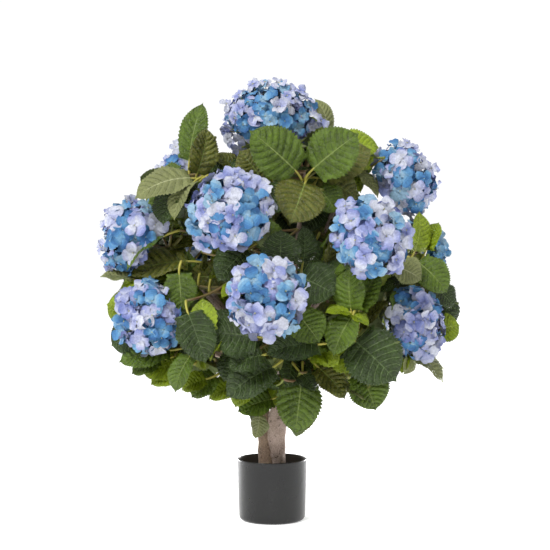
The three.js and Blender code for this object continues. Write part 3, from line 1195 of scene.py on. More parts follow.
@dataclass(frozen=True)
class Limbs:
    """The stems and boughs, clad in bark."""

    stem_sides: int = 64
    stem_step: float = 3.0
    stem_radius: float = 18.0
    stretch: float = 0.35
    smoothing: int = 12
    fill_top: float = 92.0
    foot_fade: float = 14.0
    bough_sides: int = 14
    bough_foot: float = 7.5
    bough_tip: float = 3.0
    sag: float = 15.0
    rings: int = 40

    def stem_shape(self, stem: Stem, rng: np.random.Generator) -> Shape:
        """Makes one stem with ridges, lumps and knots.

        Args:
            stem: the stem.
            rng: the source of its relief.

        Returns:
            The stem's surface.
        """
        heights = np.arange(stem.rows[0][2], stem.rows[-1][2], self.stem_step)
        line = stem.at(heights)
        smooth = line.copy()
        for _ in range(self.smoothing):
            smooth[1:-1] = (smooth[:-2] + 2 * smooth[1:-1] + smooth[2:]) / 4
        path, radii = smooth[:, :3], smooth[:, 3]
        angle = np.arange(self.stem_sides) * 2 * math.pi / self.stem_sides
        grid_z, grid_a = np.meshgrid(heights, angle, indexing="ij")
        across, deep = np.cos(grid_a) * self.stem_radius, np.sin(grid_a) * self.stem_radius
        skin = np.stack([across, deep, grid_z * self.stretch], -1)
        fine = np.stack([across, deep, grid_z], -1)
        relief = 1.1 * ripple(skin, rng, 17) + 0.7 * ripple(skin, rng, 7, 20)
        relief = relief + 0.35 * ripple(fine, rng, 4, 24)
        for knot in stem.knots:
            turn = (grid_a - knot.angle + math.pi) % (2 * math.pi) - math.pi
            gap = ((grid_z - knot.height) ** 2 + (turn * self.stem_radius) ** 2) / knot.half**2
            relief += knot.rise * (np.exp(-gap) - 0.75 * np.exp(-gap * 5))
        foot = np.clip((heights - self.fill_top) / self.foot_fade, 0, 1)[:, None]
        slot = 0 if stem.name == "main" else 1
        return tube(path, radii - 0.6, self.stem_sides, slot, relief * (0.5 + 0.5 * foot))

    def bough_path(self, bough: Bough) -> np.ndarray:
        """Finds the curve of a bough.

        Args:
            bough: the bough.

        Returns:
            Rows of points from its stem to its mass.
        """
        start = STEMS[bough.stem].at(np.array([bough.height]))[0, :3]
        end = np.array(next(m.centre for m in MASSES if m.name == bough.mass), float)
        middle = (start + end) / 2 - UP * self.sag
        return bezier(start, middle, end, self.rings)

    def bough_shape(self, bough: Bough, rng: np.random.Generator) -> Shape:
        """Makes one bough, tapering, with growth rings and lumps.

        Args:
            bough: the bough.
            rng: the source of its relief.

        Returns:
            The bough's surface.
        """
        path = self.bough_path(bough)
        share = np.linspace(0, 1, self.rings)
        radii = self.bough_foot + (self.bough_tip - self.bough_foot) * share
        relief = ripple(np.repeat(path[:, None], self.bough_sides, 1), rng, 22) * 0.5
        nodes = 0.7 * np.exp(-((share * 6 % 1 - 0.5) / 0.12) ** 2)
        return tube(path, radii - 0.3, self.bough_sides, 0, relief + nodes[:, None])

    def build(self, rng: np.random.Generator) -> bpy.types.Object:
        """Makes the stems and boughs as one piece.

        Args:
            rng: the source of the bark's relief.

        Returns:
            The limbs' object.
        """
        bundle = Bundle("limbs")
        for stem in STEMS.values():
            bundle.add(self.stem_shape(stem, rng))
        for bough in BOUGHS:
            bundle.add(self.bough_shape(bough, rng))
        brown = BarkFinish("bark_brown", "#8a7565", "#6a5545", "#3c2e26")
        return bundle.build([BarkFinish().make(), brown.make()])


# ---- leaves


@dataclass(frozen=True)
class LeafPattern:
    """The die that a leaf is cut and embossed with.

    Pairs is the number of side veins on each half. Fractions are the rows from one vein to the
    next, the first two bounding the vein, and crests are their heights. Columns are the lines from
    the midrib to the margin as shares of the half width, the first bounding the midrib, and under
    the same for the underside. Thick and rib_drop are in mm, and the other numbers are shares.
    """

    pairs: int
    fractions: tuple[float, ...]
    crests: tuple[float, ...]
    columns: tuple[float, ...]
    under: tuple[float, ...]
    tooth: float
    quilt: float
    sweep: float = 0.95
    sweep_power: float = 1.15
    shoulder: float = 0.945
    belly: float = 0.446
    foot_power: float = 0.5
    tip_power: float = 0.62
    tip_least: float = 0.8
    tooth_slant: float = 0.006
    margin_droop: float = 0.42
    waves: float = 1.7
    wave_power: float = 1.6
    wave_shift: float = 1.3
    nod_from: float = 0.62
    nod_gain: float = 2.2
    twist_lift: float = 0.6
    first_row: float = 0.012
    row_span: float = 0.985
    thick: float = 0.7
    rib_drop: float = 1.3

    def grid(self) -> dict[str, np.ndarray]:
        """Lays out the die's points and faces.

        Returns:
            The points' places along and across, their crests and drops, the faces and which of the
            blade's four slots each face takes.
        """
        across = mirrored(self.columns)
        lines, count = len(across), self.pairs * len(self.fractions)
        rows = np.array([(i + f) / self.pairs for i in range(self.pairs) for f in self.fractions])
        rows = self.first_row + rows * self.row_span
        row, col = np.meshgrid(rows, across, indexing="ij")
        swell = np.clip(4.2 * np.abs(col) * (1.04 - np.abs(col)), 0, 1)
        high = np.tile(self.crests, self.pairs)[:, None] * swell
        outward = np.where(np.arange(count)[:, None] % 2 == 0, -1.0, 1.0)
        tooth = np.where(np.abs(col) > 0.99, outward, 0.0)
        below = mirrored(self.under)
        row_b, col_b = np.meshgrid(rows, below, indexing="ij")
        inner = lines * count
        top_id = 1 + np.arange(inner).reshape(count, lines)
        low_id = 2 + inner + np.arange(count * len(below)).reshape(count, len(below))
        low_id = np.concatenate([top_id[:, :1], low_id, top_id[:, -1:]], 1)
        tip = 1 + inner
        middle = lines // 2 - 1
        slots = np.zeros((count - 1, lines - 1), int)
        vein = np.arange(count - 1) % len(self.fractions) == 0
        # Side-vein rows take slot 3, which for most lots is a darker finish: painted shade in the
        # vein grooves.
        slots[vein, 1:-1] = 3
        slots[:, middle] = 1
        low_slots = np.full((count - 1, low_id.shape[1] - 1), 2)
        fans = [(0, top_id[0, j], top_id[0, j + 1]) for j in range(lines - 1)]
        fans += [(top_id[-1, j], tip, top_id[-1, j + 1]) for j in range(lines - 1)]
        fan_slots = [0] * len(fans)
        spread = low_id.shape[1]
        fans += [(0, low_id[0, j + 1], low_id[0, j]) for j in range(spread - 1)]
        fans += [(low_id[-1, j], low_id[-1, j + 1], tip) for j in range(spread - 1)]
        fan_slots += [2] * (len(fans) - len(fan_slots))
        drop = np.where(np.abs(col_b) < 0.2, self.thick + self.rib_drop, self.thick)
        flat = np.zeros(row_b.size)

        def listed(upper: np.ndarray, lower: np.ndarray, last: float = 0.0) -> np.ndarray:
            """Lists a value for the foot, the upper points, the tip and the lower points."""
            return np.concatenate([[0.0], upper.ravel(), [last], lower.ravel()])

        rim = np.zeros(2 + inner + row_b.size, bool)
        rim[top_id[:, 0]] = rim[top_id[:, -1]] = True
        rim[[0, tip]] = True
        return {
            "row": listed(row, row_b, 1.0),
            "col": listed(col, col_b),
            "crest": listed(high, flat),
            "tooth": listed(tooth, flat),
            "drop": listed(np.zeros(inner), drop),
            "quads": np.concatenate([cells(top_id), cells(low_id, flipped=True)]),
            "quad_slots": np.concatenate([slots.ravel(), low_slots.ravel()]),
            "corners": np.array(fans),
            "corner_slots": np.array(fan_slots),
            "rim": rim,
        }


FINE_LEAF = LeafPattern(9, (0.0, 0.13, 0.36, 0.58, 0.8), (0.0, 0.05, 0.75, 1.0, 0.7),
                        (0.035, 0.3, 0.55, 0.8, 1.0), (0.04, 0.5), tooth=0.05, quilt=0.031)
PLAIN_LEAF = LeafPattern(7, (0.0, 0.16, 0.5), (0.0, 0.05, 1.0), (0.04, 0.4, 0.75, 1.0), (0.05,),
                         tooth=0.055, quilt=0.02)

# Where a blade is sampled, along and across, and which of the samples go round its margin.
BLADE_SPOTS = (
    (0.15, 0), (0.5, 0), (0.8, 0), (1, 0), (0.3, 0.8), (0.3, -0.8), (0.6, 0.8), (0.6, -0.8),
    (0, 0), (0.3, 0), (0.65, 0), (0.85, 0.4), (0.85, -0.4), (0.45, 0.45), (0.45, -0.45),
)
BLADE_RING = [0, 5, 7, 3, 6, 4]


@dataclass(frozen=True)
class Pose:
    """How a leaf is held: its foot and tip in mm, the way it faces, its width and its bends."""

    foot: np.ndarray
    tip: np.ndarray
    face: np.ndarray
    wide: float
    arch: float
    fold: float
    wave: float
    phase: float
    twist: float
    nod: float

    def axes(self) -> tuple[np.ndarray, np.ndarray, np.ndarray, float]:
        """Finds the leaf's own axes and length.

        Returns:
            Along, across, up and the length in mm.
        """
        span = self.tip - self.foot
        along = unit(span)
        side, lift = square_to(along, self.face)
        return along, side, lift, float(np.linalg.norm(span))


# The least and the most of what is added to a front leaf's fold, its wave, phase, twist and nod.
FRONT_BENDS = ((-0.03, 0.05), (0.04, 0.1), (0, 6.28), (-0.12, 0.12), (0.02, 0.12))

# The same of another leaf's width for its length, its arch, fold, wave, phase, twist and nod.
GROWN_BENDS = ((0.7, 0.9), (0.06, 0.16), (0.06, 0.22), (0.04, 0.12), (0, 6.28), (-0.2, 0.2),
               (0.02, 0.2))
FILLER_BENDS = ((0.72, 0.88), (0.05, 0.12), (0.06, 0.2), (0.04, 0.1), (0, 6.28), (-0.15, 0.15),
                (0.02, 0.14))


class LeafCutter:
    """Cuts leaves from the dies."""

    def __init__(self, pattern: LeafPattern) -> None:
        """Lays out one die."""
        self.pattern = pattern
        self.die = pattern.grid()

    def cut(self, pose: Pose, green: Green) -> Shape:
        """Makes one leaf.

        Args:
            pose: how it is held.
            green: its dye lot.

        Returns:
            The leaf's closed surface.
        """
        die, pattern = self.die, self.pattern
        along, side, lift, length = pose.axes()
        row, col = die["row"], die["col"]
        edge = np.abs(col)
        s = row + pattern.sweep * row * (1 - row) * edge**pattern.sweep_power
        s = np.clip(s + die["tooth"] * pattern.tooth_slant, 0, 1)
        body = np.clip(s / pattern.shoulder, 0, 1)
        broad = body**pattern.foot_power * (1 - body) ** pattern.tip_power
        peak = pattern.belly**pattern.foot_power * (1 - pattern.belly) ** pattern.tip_power
        half = pose.wide / 2 * np.maximum(broad / peak, (1 - s) * pattern.tip_least)
        y = col * half * (1 + pattern.tooth * die["tooth"])
        y = np.where(edge < 0.1, y * (1.05 - 0.9 * s), y)
        z = pose.arch * length * 4 * s * (1 - s)
        z = z + pose.fold * np.abs(y) * (1 - pattern.margin_droop * edge)
        turns = 2 * math.pi * pattern.waves * s
        swing = np.sin(turns + pose.phase + pattern.wave_shift * np.sign(col))
        z = z + pose.wave * half * swing * edge**pattern.wave_power
        z = z - pose.nod * length * np.clip(s - pattern.nod_from, 0, 1) ** 2 * pattern.nod_gain
        swell = np.clip(half / pose.wide * 3, 0, 1)
        z = z + pattern.quilt * length * die["crest"] * swell - die["drop"]
        angle = pose.twist * s
        y, z = (y * np.cos(angle) - z * np.sin(angle) * pattern.twist_lift,
                z * np.cos(angle) + y * np.sin(angle))
        x = length * s
        points = pose.foot + x[:, None] * along + y[:, None] * side + z[:, None] * lift
        slots = np.array(green.value)
        return Shape(points, die["quads"], slots[die["quad_slots"]], die["corners"],
                     slots[die["corner_slots"]], die["rim"])

    def outline(self, pose: Pose) -> np.ndarray:
        """Samples a leaf's blade.

        Args:
            pose: how it is held.

        Returns:
            Rows of points: along the midrib and on both margins.
        """
        along, side, lift, length = pose.axes()
        rows = []
        for s, t in BLADE_SPOTS:
            rise = pose.arch * length * 4 * s * (1 - s)
            rows.append(pose.foot + along * length * s + side * t * pose.wide / 2 + lift * rise)
        return np.array(rows)


class Screen:
    """Plain polygons in metres that lines of sight are tested against."""

    def __init__(self) -> None:
        """Starts empty."""
        self.corners: list[tuple[float, ...]] = []
        self.polygons: list[tuple[int, ...]] = []

    def add(self, points: np.ndarray) -> None:
        """Adds one polygon, given in mm."""
        self.polygons.append(tuple(range(len(self.corners), len(self.corners) + len(points))))
        self.corners.extend(tuple(p * MM) for p in points)

    def add_mesh(self, mesh: bpy.types.Mesh) -> None:
        """Adds all faces of a mesh."""
        base = len(self.corners)
        self.corners.extend(tuple(v.co) for v in mesh.vertices)
        self.polygons.extend(tuple(base + i for i in p.vertices) for p in mesh.polygons)

    def tree(self) -> BVHTree:
        """Makes a search tree of the polygons so far."""
        return BVHTree.FromPolygons(self.corners, self.polygons)


class Room:
    """The space for leaves, the blooms they keep clear of and the leaves they must not hide."""

    margin: float = 60.0
    face_share: float = 0.78
    first_span: float = 30.0
    span_step: float = 9.0
    span_slack: float = 4.0
    sight: float = 0.8
    behind: float = 1.0

    def __init__(self, nodes: dict[str, bpy.types.Object]) -> None:
        """Reads the masses from the frame.

        Args:
            nodes: the frame's objects by node.
        """
        self.masses = {m.name: (np.array(m.centre, float), m.reach, self.tree(nodes[m.name]))
                       for m in MASSES}
        self.front: BVHTree | None = None
        self.domes = []
        for dome in DOMES:
            axis = unit(np.array(dome.facing, float))
            self.domes.append((np.array(dome.centre, float), axis, dome.radius, dome.half))

    @staticmethod
    def tree(node: bpy.types.Object) -> BVHTree:
        """Makes a search tree of a node's faces."""
        screen = Screen()
        screen.add_mesh(node.data)
        return screen.tree()

    def outside(self, point: np.ndarray) -> float:
        """Measures how far a point is outside all masses.

        Args:
            point: the point in mm.

        Returns:
            The distance in mm, or a negative value inside.
        """
        least = 1e3
        for centre, reach, tree in self.masses.values():
            if np.linalg.norm(point - centre) > reach + self.margin:
                continue
            place, normal, _, gap = tree.find_nearest(tuple(point * MM))
            if place is None:
                continue
            within = float(np.dot(point * MM - np.array(place), np.array(normal))) < 0
            least = min(least, -gap / MM if within else gap / MM)
        return least

    def span(self, start: np.ndarray, way: np.ndarray, most: float) -> float:
        """Measures how far one can go from a point before leaving the masses.

        Args:
            start: the point in mm.
            way: the unit direction.
            most: where the search ends, in mm.

        Returns:
            The distance in mm.
        """
        reach, step = self.first_span, self.span_step
        while reach + step < most and self.outside(start + way * (reach + step)) < self.span_slack:
            reach += step
        return reach

    def in_bloom(self, points: np.ndarray, share: float, cone: float) -> bool:
        """Tests for points inside a bloom or before its face.

        Args:
            points: rows of points in mm.
            share: the share of the bloom's size that counts as inside.
            cone: how far before its face counts too, in mm.

        Returns:
            Whether any point is there.
        """
        for centre, axis, radius, half in self.domes:
            away = points - centre
            high = away @ axis
            wide = np.linalg.norm(away - high[:, None] * axis, axis=1)
            inside = (wide / radius) ** 2 + (high / half) ** 2 < share**2
            before = (high > 0) & (high < half + cone) & (wide < radius * self.face_share)
            if (inside | before).any():
                return True
        return False

    def hides(self, points: np.ndarray) -> bool:
        """Tests for points that hide the front leaves, or that close a gap where light shows.

        Args:
            points: rows of points in mm.

        Returns:
            Whether any point does.
        """
        squares = LAYOUT.seen(points)
        for across, down, reach in SKY:
            if (np.hypot(squares[:, 0] - across, squares[:, 1] - down) < reach).any():
                return True
        for point in points:
            away = point - EYE
            reach = float(np.linalg.norm(away))
            hit = self.front.ray_cast(tuple(EYE * MM), tuple(away / reach), reach * MM + self.sight)
            if hit[0] is not None and hit[3] / MM > reach + self.behind:
                return True
        return False


class Foliage:
    """All leaves with their stalks and twigs."""

    shoots: int = 8
    inner_shoots: int = 5
    leaf_length: Pair = (56.0, 108.0)
    face_room: float = 45.0
    slack: float = 16.0
    gap_reach: float = 385.0
    gap_step: float = 24.0
    gap_depth: float = 120.0
    gap_tries: int = 4
    filler_length: Pair = (62.0, 88.0)
    bare_rings: int = 12
    front_domes: int = 10
    twig_pull: float = 0.25
    twig_sag: float = 0.16
    twig_wander: float = 0.04
    twig_flare: float = 1.2
    twig_least: float = 4.0
    twig_steps: int = 8
    twig_sides: int = 6
    stalk_ends: Pair = (2.9, 1.8)
    stalk_steps: int = 7
    stalk_inset: float = 4.0
    sight_back: float = 900.0
    probe: float = 300.0
    probe_margin: float = 50.0
    gap_least: float = 12.0
    gap_apart: float = 1.25
    heart_lift: float = 90.0
    heart_reach: float = 190.0
    heart_depth: float = 90.0
    heart_share: float = 0.8

    def __init__(self, nodes: dict[str, bpy.types.Object], rng: np.random.Generator) -> None:
        """Gets ready to lay leaves.

        Args:
            nodes: the frame's objects by node.
            rng: the source of all its choices.
        """
        self.rng = rng
        self.room = Room(nodes)
        self.fine = LeafCutter(FINE_LEAF)
        self.plain = LeafCutter(PLAIN_LEAF)
        self.pieces = {name: Bundle(name) for name, _ in LEAF_PIECES}
        self.stalks = Bundle("twigs")
        self.cover = Screen()
        for dome in DOMES:
            self.cover.add_mesh(nodes[dome.name].data)
        limbs = Limbs()
        self.limbs = np.concatenate([limbs.bough_path(bough)[self.bare_rings:] for bough in BOUGHS])

    def piece_of(self, point: np.ndarray) -> Bundle:
        """Finds the piece of the mass nearest to a point."""
        mass = min(MASSES, key=lambda m: np.linalg.norm(point - np.array(m.centre)) - m.reach)
        return next(self.pieces[name] for name, members in LEAF_PIECES if mass.name in members)

    def note(self, outline: np.ndarray) -> None:
        """Remembers a laid leaf's sampled blade, for the search of gaps."""
        self.cover.add(outline[BLADE_RING])

    def twig(self, node: np.ndarray, thick: float = 2.4) -> None:
        """Grows a twig from the nearest limb to a node.

        Args:
            node: where the twig ends, in mm.
            thick: its radius there.
        """
        gaps = np.linalg.norm(self.limbs - node, axis=1)
        outward = np.linalg.norm(self.limbs[:, :2], axis=1)
        inward = self.limbs[np.argmin(gaps + self.twig_pull * outward)]
        span = np.linalg.norm(node - inward)
        if span < self.twig_least:
            return
        middle = (inward + node) / 2 - UP * span * self.twig_sag
        middle = middle + self.rng.normal(size=3) * span * self.twig_wander
        radii = np.linspace(thick + self.twig_flare, thick, self.twig_steps)
        path = bezier(inward, middle, node, self.twig_steps)
        self.stalks.add(tube(path, radii, self.twig_sides, 0))

    def petiole(self, node: np.ndarray, pose: Pose, slot: int) -> None:
        """Joins a leaf's foot to its node.

        Args:
            node: where the stalk leaves the twig, in mm.
            pose: how the leaf is held.
            slot: the coat's slot.
        """
        along, _, lift, length = pose.axes()
        end = pose.foot + along * min(self.stalk_inset, length * 0.05)
        middle = end - (along + lift * pose.arch * 3) * (np.linalg.norm(end - node) * 0.5)
        radii = np.linspace(*self.stalk_ends, self.stalk_steps)
        path = bezier(node, middle, end, self.stalk_steps)
        self.stalks.add(tube(path, radii, self.twig_sides, slot))

    def lay_front(self) -> None:
        """Lays the leaves of the front layout and joins them to twigs."""
        screen = Screen()
        for leaf in FRONT_LEAVES:
            foot = LAYOUT.place(*leaf.foot, leaf.near)
            tip = LAYOUT.place(*leaf.tip, leaf.far)
            along = unit(tip - foot)
            toward, view = square_to(along, unit(EYE - foot))
            upright = abs(toward[2]) <= 0.3
            way = toward if toward[2] > 0.3 or (upright and toward[0] > 0) else -toward
            turn = math.radians(leaf.turn)
            face = math.cos(turn) * view + math.sin(turn) * way
            slack, *bends = (self.rng.uniform(low, high) for low, high in FRONT_BENDS)
            pose = Pose(foot, tip, face, leaf.wide, leaf.arch, leaf.fold + slack, *bends)
            self.piece_of((foot + tip) / 2).add(self.fine.cut(pose, leaf.green))
            node = foot - along * self.rng.uniform(20, 27) - face * self.rng.uniform(4, 9)
            node = node + unit(np.array(CROWN_HEART) - foot) * 8
            self.petiole(node, pose, 1)
            self.twig(node)
            outline = self.fine.outline(pose)
            self.note(outline)
            screen.add(outline[BLADE_RING])
            across = np.cross(along, face)
            near, root, neck = foot + along * 18, across * 12, across * 14
            screen.add(np.array((node - root, node + root, near + neck, near - neck)))
        for dome in DOMES[:self.front_domes]:
            view = unit(EYE - np.array(dome.centre))
            facing = unit(np.array(dome.facing, float))
            screen.add(self.disc(dome.centre, facing, dome.radius * 0.9))
            screen.add(self.disc(dome.centre, view, dome.half * 0.95))
        self.room.front = screen.tree()

    @staticmethod
    def disc(centre: Triple, axis: np.ndarray, radius: float) -> np.ndarray:
        """Samples the rim of a disc.

        Args:
            centre: its middle in mm.
            axis: the unit vector that it is square to.
            radius: its radius in mm.

        Returns:
            Rows of points.
        """
        side, lift = square_to(axis, UP)
        turns = [k * math.pi / 6 for k in range(12)]
        spokes = [side * math.cos(t) + lift * math.sin(t) for t in turns]
        return np.array([np.array(centre) + spoke * radius for spoke in spokes])

    def green_for(self, point: np.ndarray) -> Green:
        """Chooses a dye lot: fresh towards the outside and below, deep within.

        Args:
            point: the middle of the leaf in mm.

        Returns:
            The dye lot.
        """
        out = min(np.linalg.norm((point - CROWN_MIDDLE) / CROWN_REACH), 1.0)
        fresh = 0.10 + 0.22 * out
        weights = (0.34 - 0.1 * out, 0.30, fresh, 0.22, 0.05)
        share = self.rng.uniform() * sum(weights)
        for green, weight in zip((D, M, F, O, P), weights):
            share -= weight
            if share <= 0:
                return green
        return M

    def bent(self, foot: np.ndarray, tip: np.ndarray, face: np.ndarray, length: float,
             bends: tuple[Pair, ...]) -> Pose:
        """Holds a leaf with random bends.

        Args:
            foot: its foot in mm.
            tip: its tip in mm.
            face: the way it faces.
            length: its length in mm.
            bends: the least and the most of its width for its length and of its bends.

        Returns:
            How it is held.
        """
        wide, *rest = (self.rng.uniform(low, high) for low, high in bends)
        return Pose(foot, tip, face, length * wide, *rest)

    def lay_shoot(self, mass: Mass, axis: np.ndarray, leaves: int, close: float) -> int:
        """Lays one whorl of opposite leaves that follows the skin of a mass.

        Args:
            mass: the mass.
            axis: the way the shoot points from the mass's centre.
            leaves: how many leaves are tried.
            close: how near to the skin the leaves lie, as a share of the way from the centre.

        Returns:
            How many leaves found room.
        """
        rng, room = self.rng, self.room
        centre = np.array(mass.centre, float)
        side, lift = square_to(axis, UP)
        start, laid = rng.uniform(0, math.pi), 0
        node = centre + axis * room.span(centre, axis, mass.reach) * rng.uniform(0.42, 0.52) * close
        for k in range(leaves):
            pair = k // 2
            for attempt in range(4):
                turn = start + math.pi * (k % 2) + math.pi / 2 * pair + rng.uniform(-0.35, 0.35)
                flat = side * math.cos(turn) + lift * math.sin(turn)
                wide = math.radians(rng.uniform(58, 88) - 14 * pair - 7 * attempt)
                narrow = math.radians(rng.uniform(8, 16))
                out = axis * math.cos(wide) + flat * math.sin(wide)
                out = unit(out - UP * rng.uniform(0, 0.25))
                near = axis * math.cos(narrow) + flat * math.sin(narrow)
                reach = room.span(centre, out, mass.reach * 1.12)
                tip = centre + out * reach * rng.uniform(0.93, 1.04) * close
                foot = node + near * rng.uniform(9, 17) + flat * rng.uniform(6, 14)
                length = float(np.linalg.norm(tip - foot))
                if length > self.leaf_length[1]:
                    tip = foot + (tip - foot) * self.leaf_length[1] / length
                    length = self.leaf_length[1]
                if length < self.leaf_length[0]:
                    continue
                face = unit((tip + foot) / 2 - centre)
                face = unit(face * 0.8 + axis * 0.3 + UP * 0.4 + rng.normal(size=3) * 0.18)
                pose = self.bent(foot, tip, face, length, GROWN_BENDS)
                outline = self.plain.outline(pose)
                if room.in_bloom(outline, 0.95, self.face_room) or room.hides(outline):
                    continue
                if max(room.outside(p) for p in outline) > self.slack:
                    continue
                middle = outline.mean(0)
                self.piece_of(middle).add(self.plain.cut(pose, self.green_for(middle)))
                self.petiole(node, pose, 2)
                self.note(outline)
                laid += 1
                break
        if laid:
            self.twig(node)
        return laid

    def lay_mass(self, mass: Mass) -> int:
        """Grows the shoots of one mass, an outer layer and an inner one.

        Args:
            mass: the mass.

        Returns:
            How many leaves it got.
        """
        rng, laid = self.rng, 0
        out = unit(np.array(mass.centre, float) - np.array(CROWN_HEART))
        side, lift = square_to(out, UP)
        for shoots, close, lowest in ((self.shoots, 1.0, -0.55), (self.inner_shoots, 0.66, -0.9)):
            for k in range(shoots):
                share = 1 - (1 - lowest) * (k + 0.5) / shoots
                turn = k * GOLDEN + rng.uniform(-0.4, 0.4)
                ring = math.sqrt(max(0.0, 1 - share**2))
                way = unit(out * share + (side * math.cos(turn) + lift * math.sin(turn)) * ring)
                laid += self.lay_shoot(mass, way, 6, close)
        return laid

    def through(self, start: np.ndarray, way: np.ndarray) -> tuple[float, float] | None:
        """Finds where a line of sight enters the masses and leaves them.

        Args:
            start: where the line begins, in mm.
            way: its unit direction.

        Returns:
            The nearest and the furthest distance in mm, or None for a miss.
        """
        near, far = 1e9, -1e9
        for centre, reach, tree in self.room.masses.values():
            middle = float(np.dot(centre - start, way))
            if np.linalg.norm(start + way * middle - centre) > reach + self.probe_margin:
                continue
            low, high = middle - self.probe, middle + self.probe
            first = tree.ray_cast(tuple((start + way * low) * MM), tuple(way))
            if first[0] is None:
                continue
            last = tree.ray_cast(tuple((start + way * high) * MM), tuple(-way))
            near = min(near, low + first[3] / MM)
            far = max(far, high - last[3] / MM)
        if far > near:
            return near, far
        heart = np.array(CROWN_HEART) + UP * self.heart_lift
        middle = float(np.dot(heart - start, way))
        if np.linalg.norm(start + way * middle - heart) > self.heart_reach:
            return None
        return middle - self.heart_depth, middle + self.heart_depth

    def fill_from(self, way: np.ndarray, eye: np.ndarray | None, step: float) -> int:
        """Lays leaves behind each gap that is seen from one side.

        Args:
            way: the direction of sight.
            eye: the point of sight in mm, or None for parallel lines of sight.
            step: the distance between the places that are tried, in mm.

        Returns:
            How many leaves were laid.
        """
        rng = self.rng
        cover = self.cover.tree()
        side, lift = square_to(way, UP if abs(way[2]) < 0.9 else np.array((0.0, 1.0, 0.0)))
        heart = np.array(CROWN_HEART) + UP * self.heart_lift
        steps = np.arange(-self.gap_reach, self.gap_reach, step)
        places = [(a, b) for a in steps for b in steps]
        filled, laid = [], 0
        for k in rng.permutation(len(places)):
            a, b = np.array(places[k]) + rng.uniform(-0.4, 0.4, 2) * step
            spot = heart + side * a + lift * b
            start = eye if eye is not None else spot - way * self.sight_back
            ray = unit(spot - start)
            if cover.ray_cast(tuple(start * MM), tuple(ray))[0] is not None:
                continue
            if any(np.hypot(a - c, b - d) < self.gap_step * self.gap_apart for c, d in filled):
                continue
            span = self.through(start, ray)
            if span is None or span[1] - span[0] < self.gap_least:
                continue
            for _ in range(self.gap_tries):
                deep = span[0] + min(span[1] - span[0], self.gap_depth) * rng.uniform(0.25, 0.85)
                if self.lay_filler(start + ray * deep, -ray):
                    filled.append((a, b))
                    laid += 1
                    break
        return laid

    def lay_filler(self, middle: np.ndarray, view: np.ndarray) -> bool:
        """Lays one leaf across a gap, on a twig of its own.

        Args:
            middle: the middle of the leaf in mm.
            view: the way to the viewer.

        Returns:
            Whether it found room.
        """
        rng, room = self.rng, self.room
        face = unit(view + rng.normal(size=3) * 0.3 + UP * 0.15)
        away = unit(middle - np.array(CROWN_HEART))
        hang = away - UP * rng.uniform(0.0, 0.7) + rng.normal(size=3) * 0.45
        along = unit(hang - face * float(np.dot(hang, face)))
        length = rng.uniform(*self.filler_length)
        foot, tip = middle - along * length * 0.48, middle + along * length * 0.52
        pose = self.bent(foot, tip, face, length, FILLER_BENDS)
        outline = self.plain.outline(pose)
        if room.in_bloom(outline, 0.92, 22) or room.hides(outline):
            return False
        share = np.linalg.norm((outline - CROWN_MIDDLE) / CROWN_REACH, axis=1).max()
        if share >= self.heart_share and max(room.outside(p) for p in outline) > self.slack:
            return False
        self.piece_of(middle).add(self.plain.cut(pose, self.green_for(middle)))
        node = foot - along * rng.uniform(10, 18) - face * rng.uniform(4, 9)
        self.petiole(node, pose, 2)
        self.twig(node, 1.8)
        self.note(outline)
        return True

    def fill(self) -> None:
        """Closes the crown's gaps, first those seen from the front and then from all sides."""
        for share in (1, 1, 0.6, 0.5):
            filled = self.fill_from(np.array((0.0, 1.0, 0.0)), EYE, self.gap_step * share)
            LOG.info("front gaps filled: %d", filled)
        for rise, turns, offset in LOOKS:
            for k in range(turns):
                turn = math.radians(offset + 360 * k / turns)
                high = math.radians(rise)
                flat = math.cos(high)
                way = -np.array((flat * math.cos(turn), flat * math.sin(turn), math.sin(high)))
                filled = self.fill_from(way, None, self.gap_step)
                LOG.info("gaps from %d, %d: %d", round(math.degrees(turn)), rise, filled)

    def build(self) -> list[tuple[bpy.types.Object, tuple[str, ...]]]:
        """Lays every leaf and makes the pieces.

        Returns:
            The leaf pieces with the nodes they stand for, and last the twigs, which stand for none.
        """
        self.lay_front()
        for mass in MASSES:
            LOG.info("%s has %d grown leaves", mass.name, self.lay_mass(mass))
        self.fill()
        for dome in DOMES:
            hub = np.array(dome.centre) - unit(np.array(dome.facing, float)) * dome.half * 0.4
            self.twig(hub, 3.0)
        finishes = [f.make() for f in LEAF_FINISHES]
        pieces = []
        for name, members in LEAF_PIECES:
            bundle = self.pieces[name]
            LOG.info("%s: %d leaves, %d triangles", name, len(bundle.shapes), bundle.triangles())
            pieces.append((bundle.build(finishes), members))
        LOG.info("twigs: %d triangles", self.stalks.triangles())
        coats = [StalkCoat("twig_coat", "#6a6830", "#6b5138").make(),
                 StalkCoat("petiole_coat", "#9a9638", "#aaa24a").make(),
                 StalkCoat("petiole_coat_green", "#5d6a26", "#747c34").make()]
        pieces.append((self.stalks.build(coats), ()))
        return pieces


# ---- blooms


@dataclass(frozen=True)
class Shell:
    """One shell of florets in a bloom."""

    count: int
    depth: float
    size: float
    lean: float
    lowest: float
    lots: tuple[tuple[Series, float], ...]


# The inner shells take darker, bluer lots, the innermost half navy: painted shade deep within the
# bloom, over the bloom's own mix of blue and lilac.
SHELLS = (
    Shell(34, 0.84, 24.0, 0.24, -0.62,
          ((W, 0.22), (L, 0.32), (V, 0.12), (I, 0.1), (S, 0.13), (B, 0.11))),
    Shell(26, 0.77, 23.5, 0.42, -0.6, ((B, 0.3), (S, 0.3), (L, 0.14), (V, 0.26))),
    Shell(12, 0.58, 23.0, 0.5, -0.6, ((N, 0.5), (B, 0.5))),
)


@dataclass(frozen=True)
class Spot:
    """Where a floret sits: its place in mm, its facing, its size in mm and its dye lot."""

    place: np.ndarray
    normal: np.ndarray
    size: float
    lot: Series


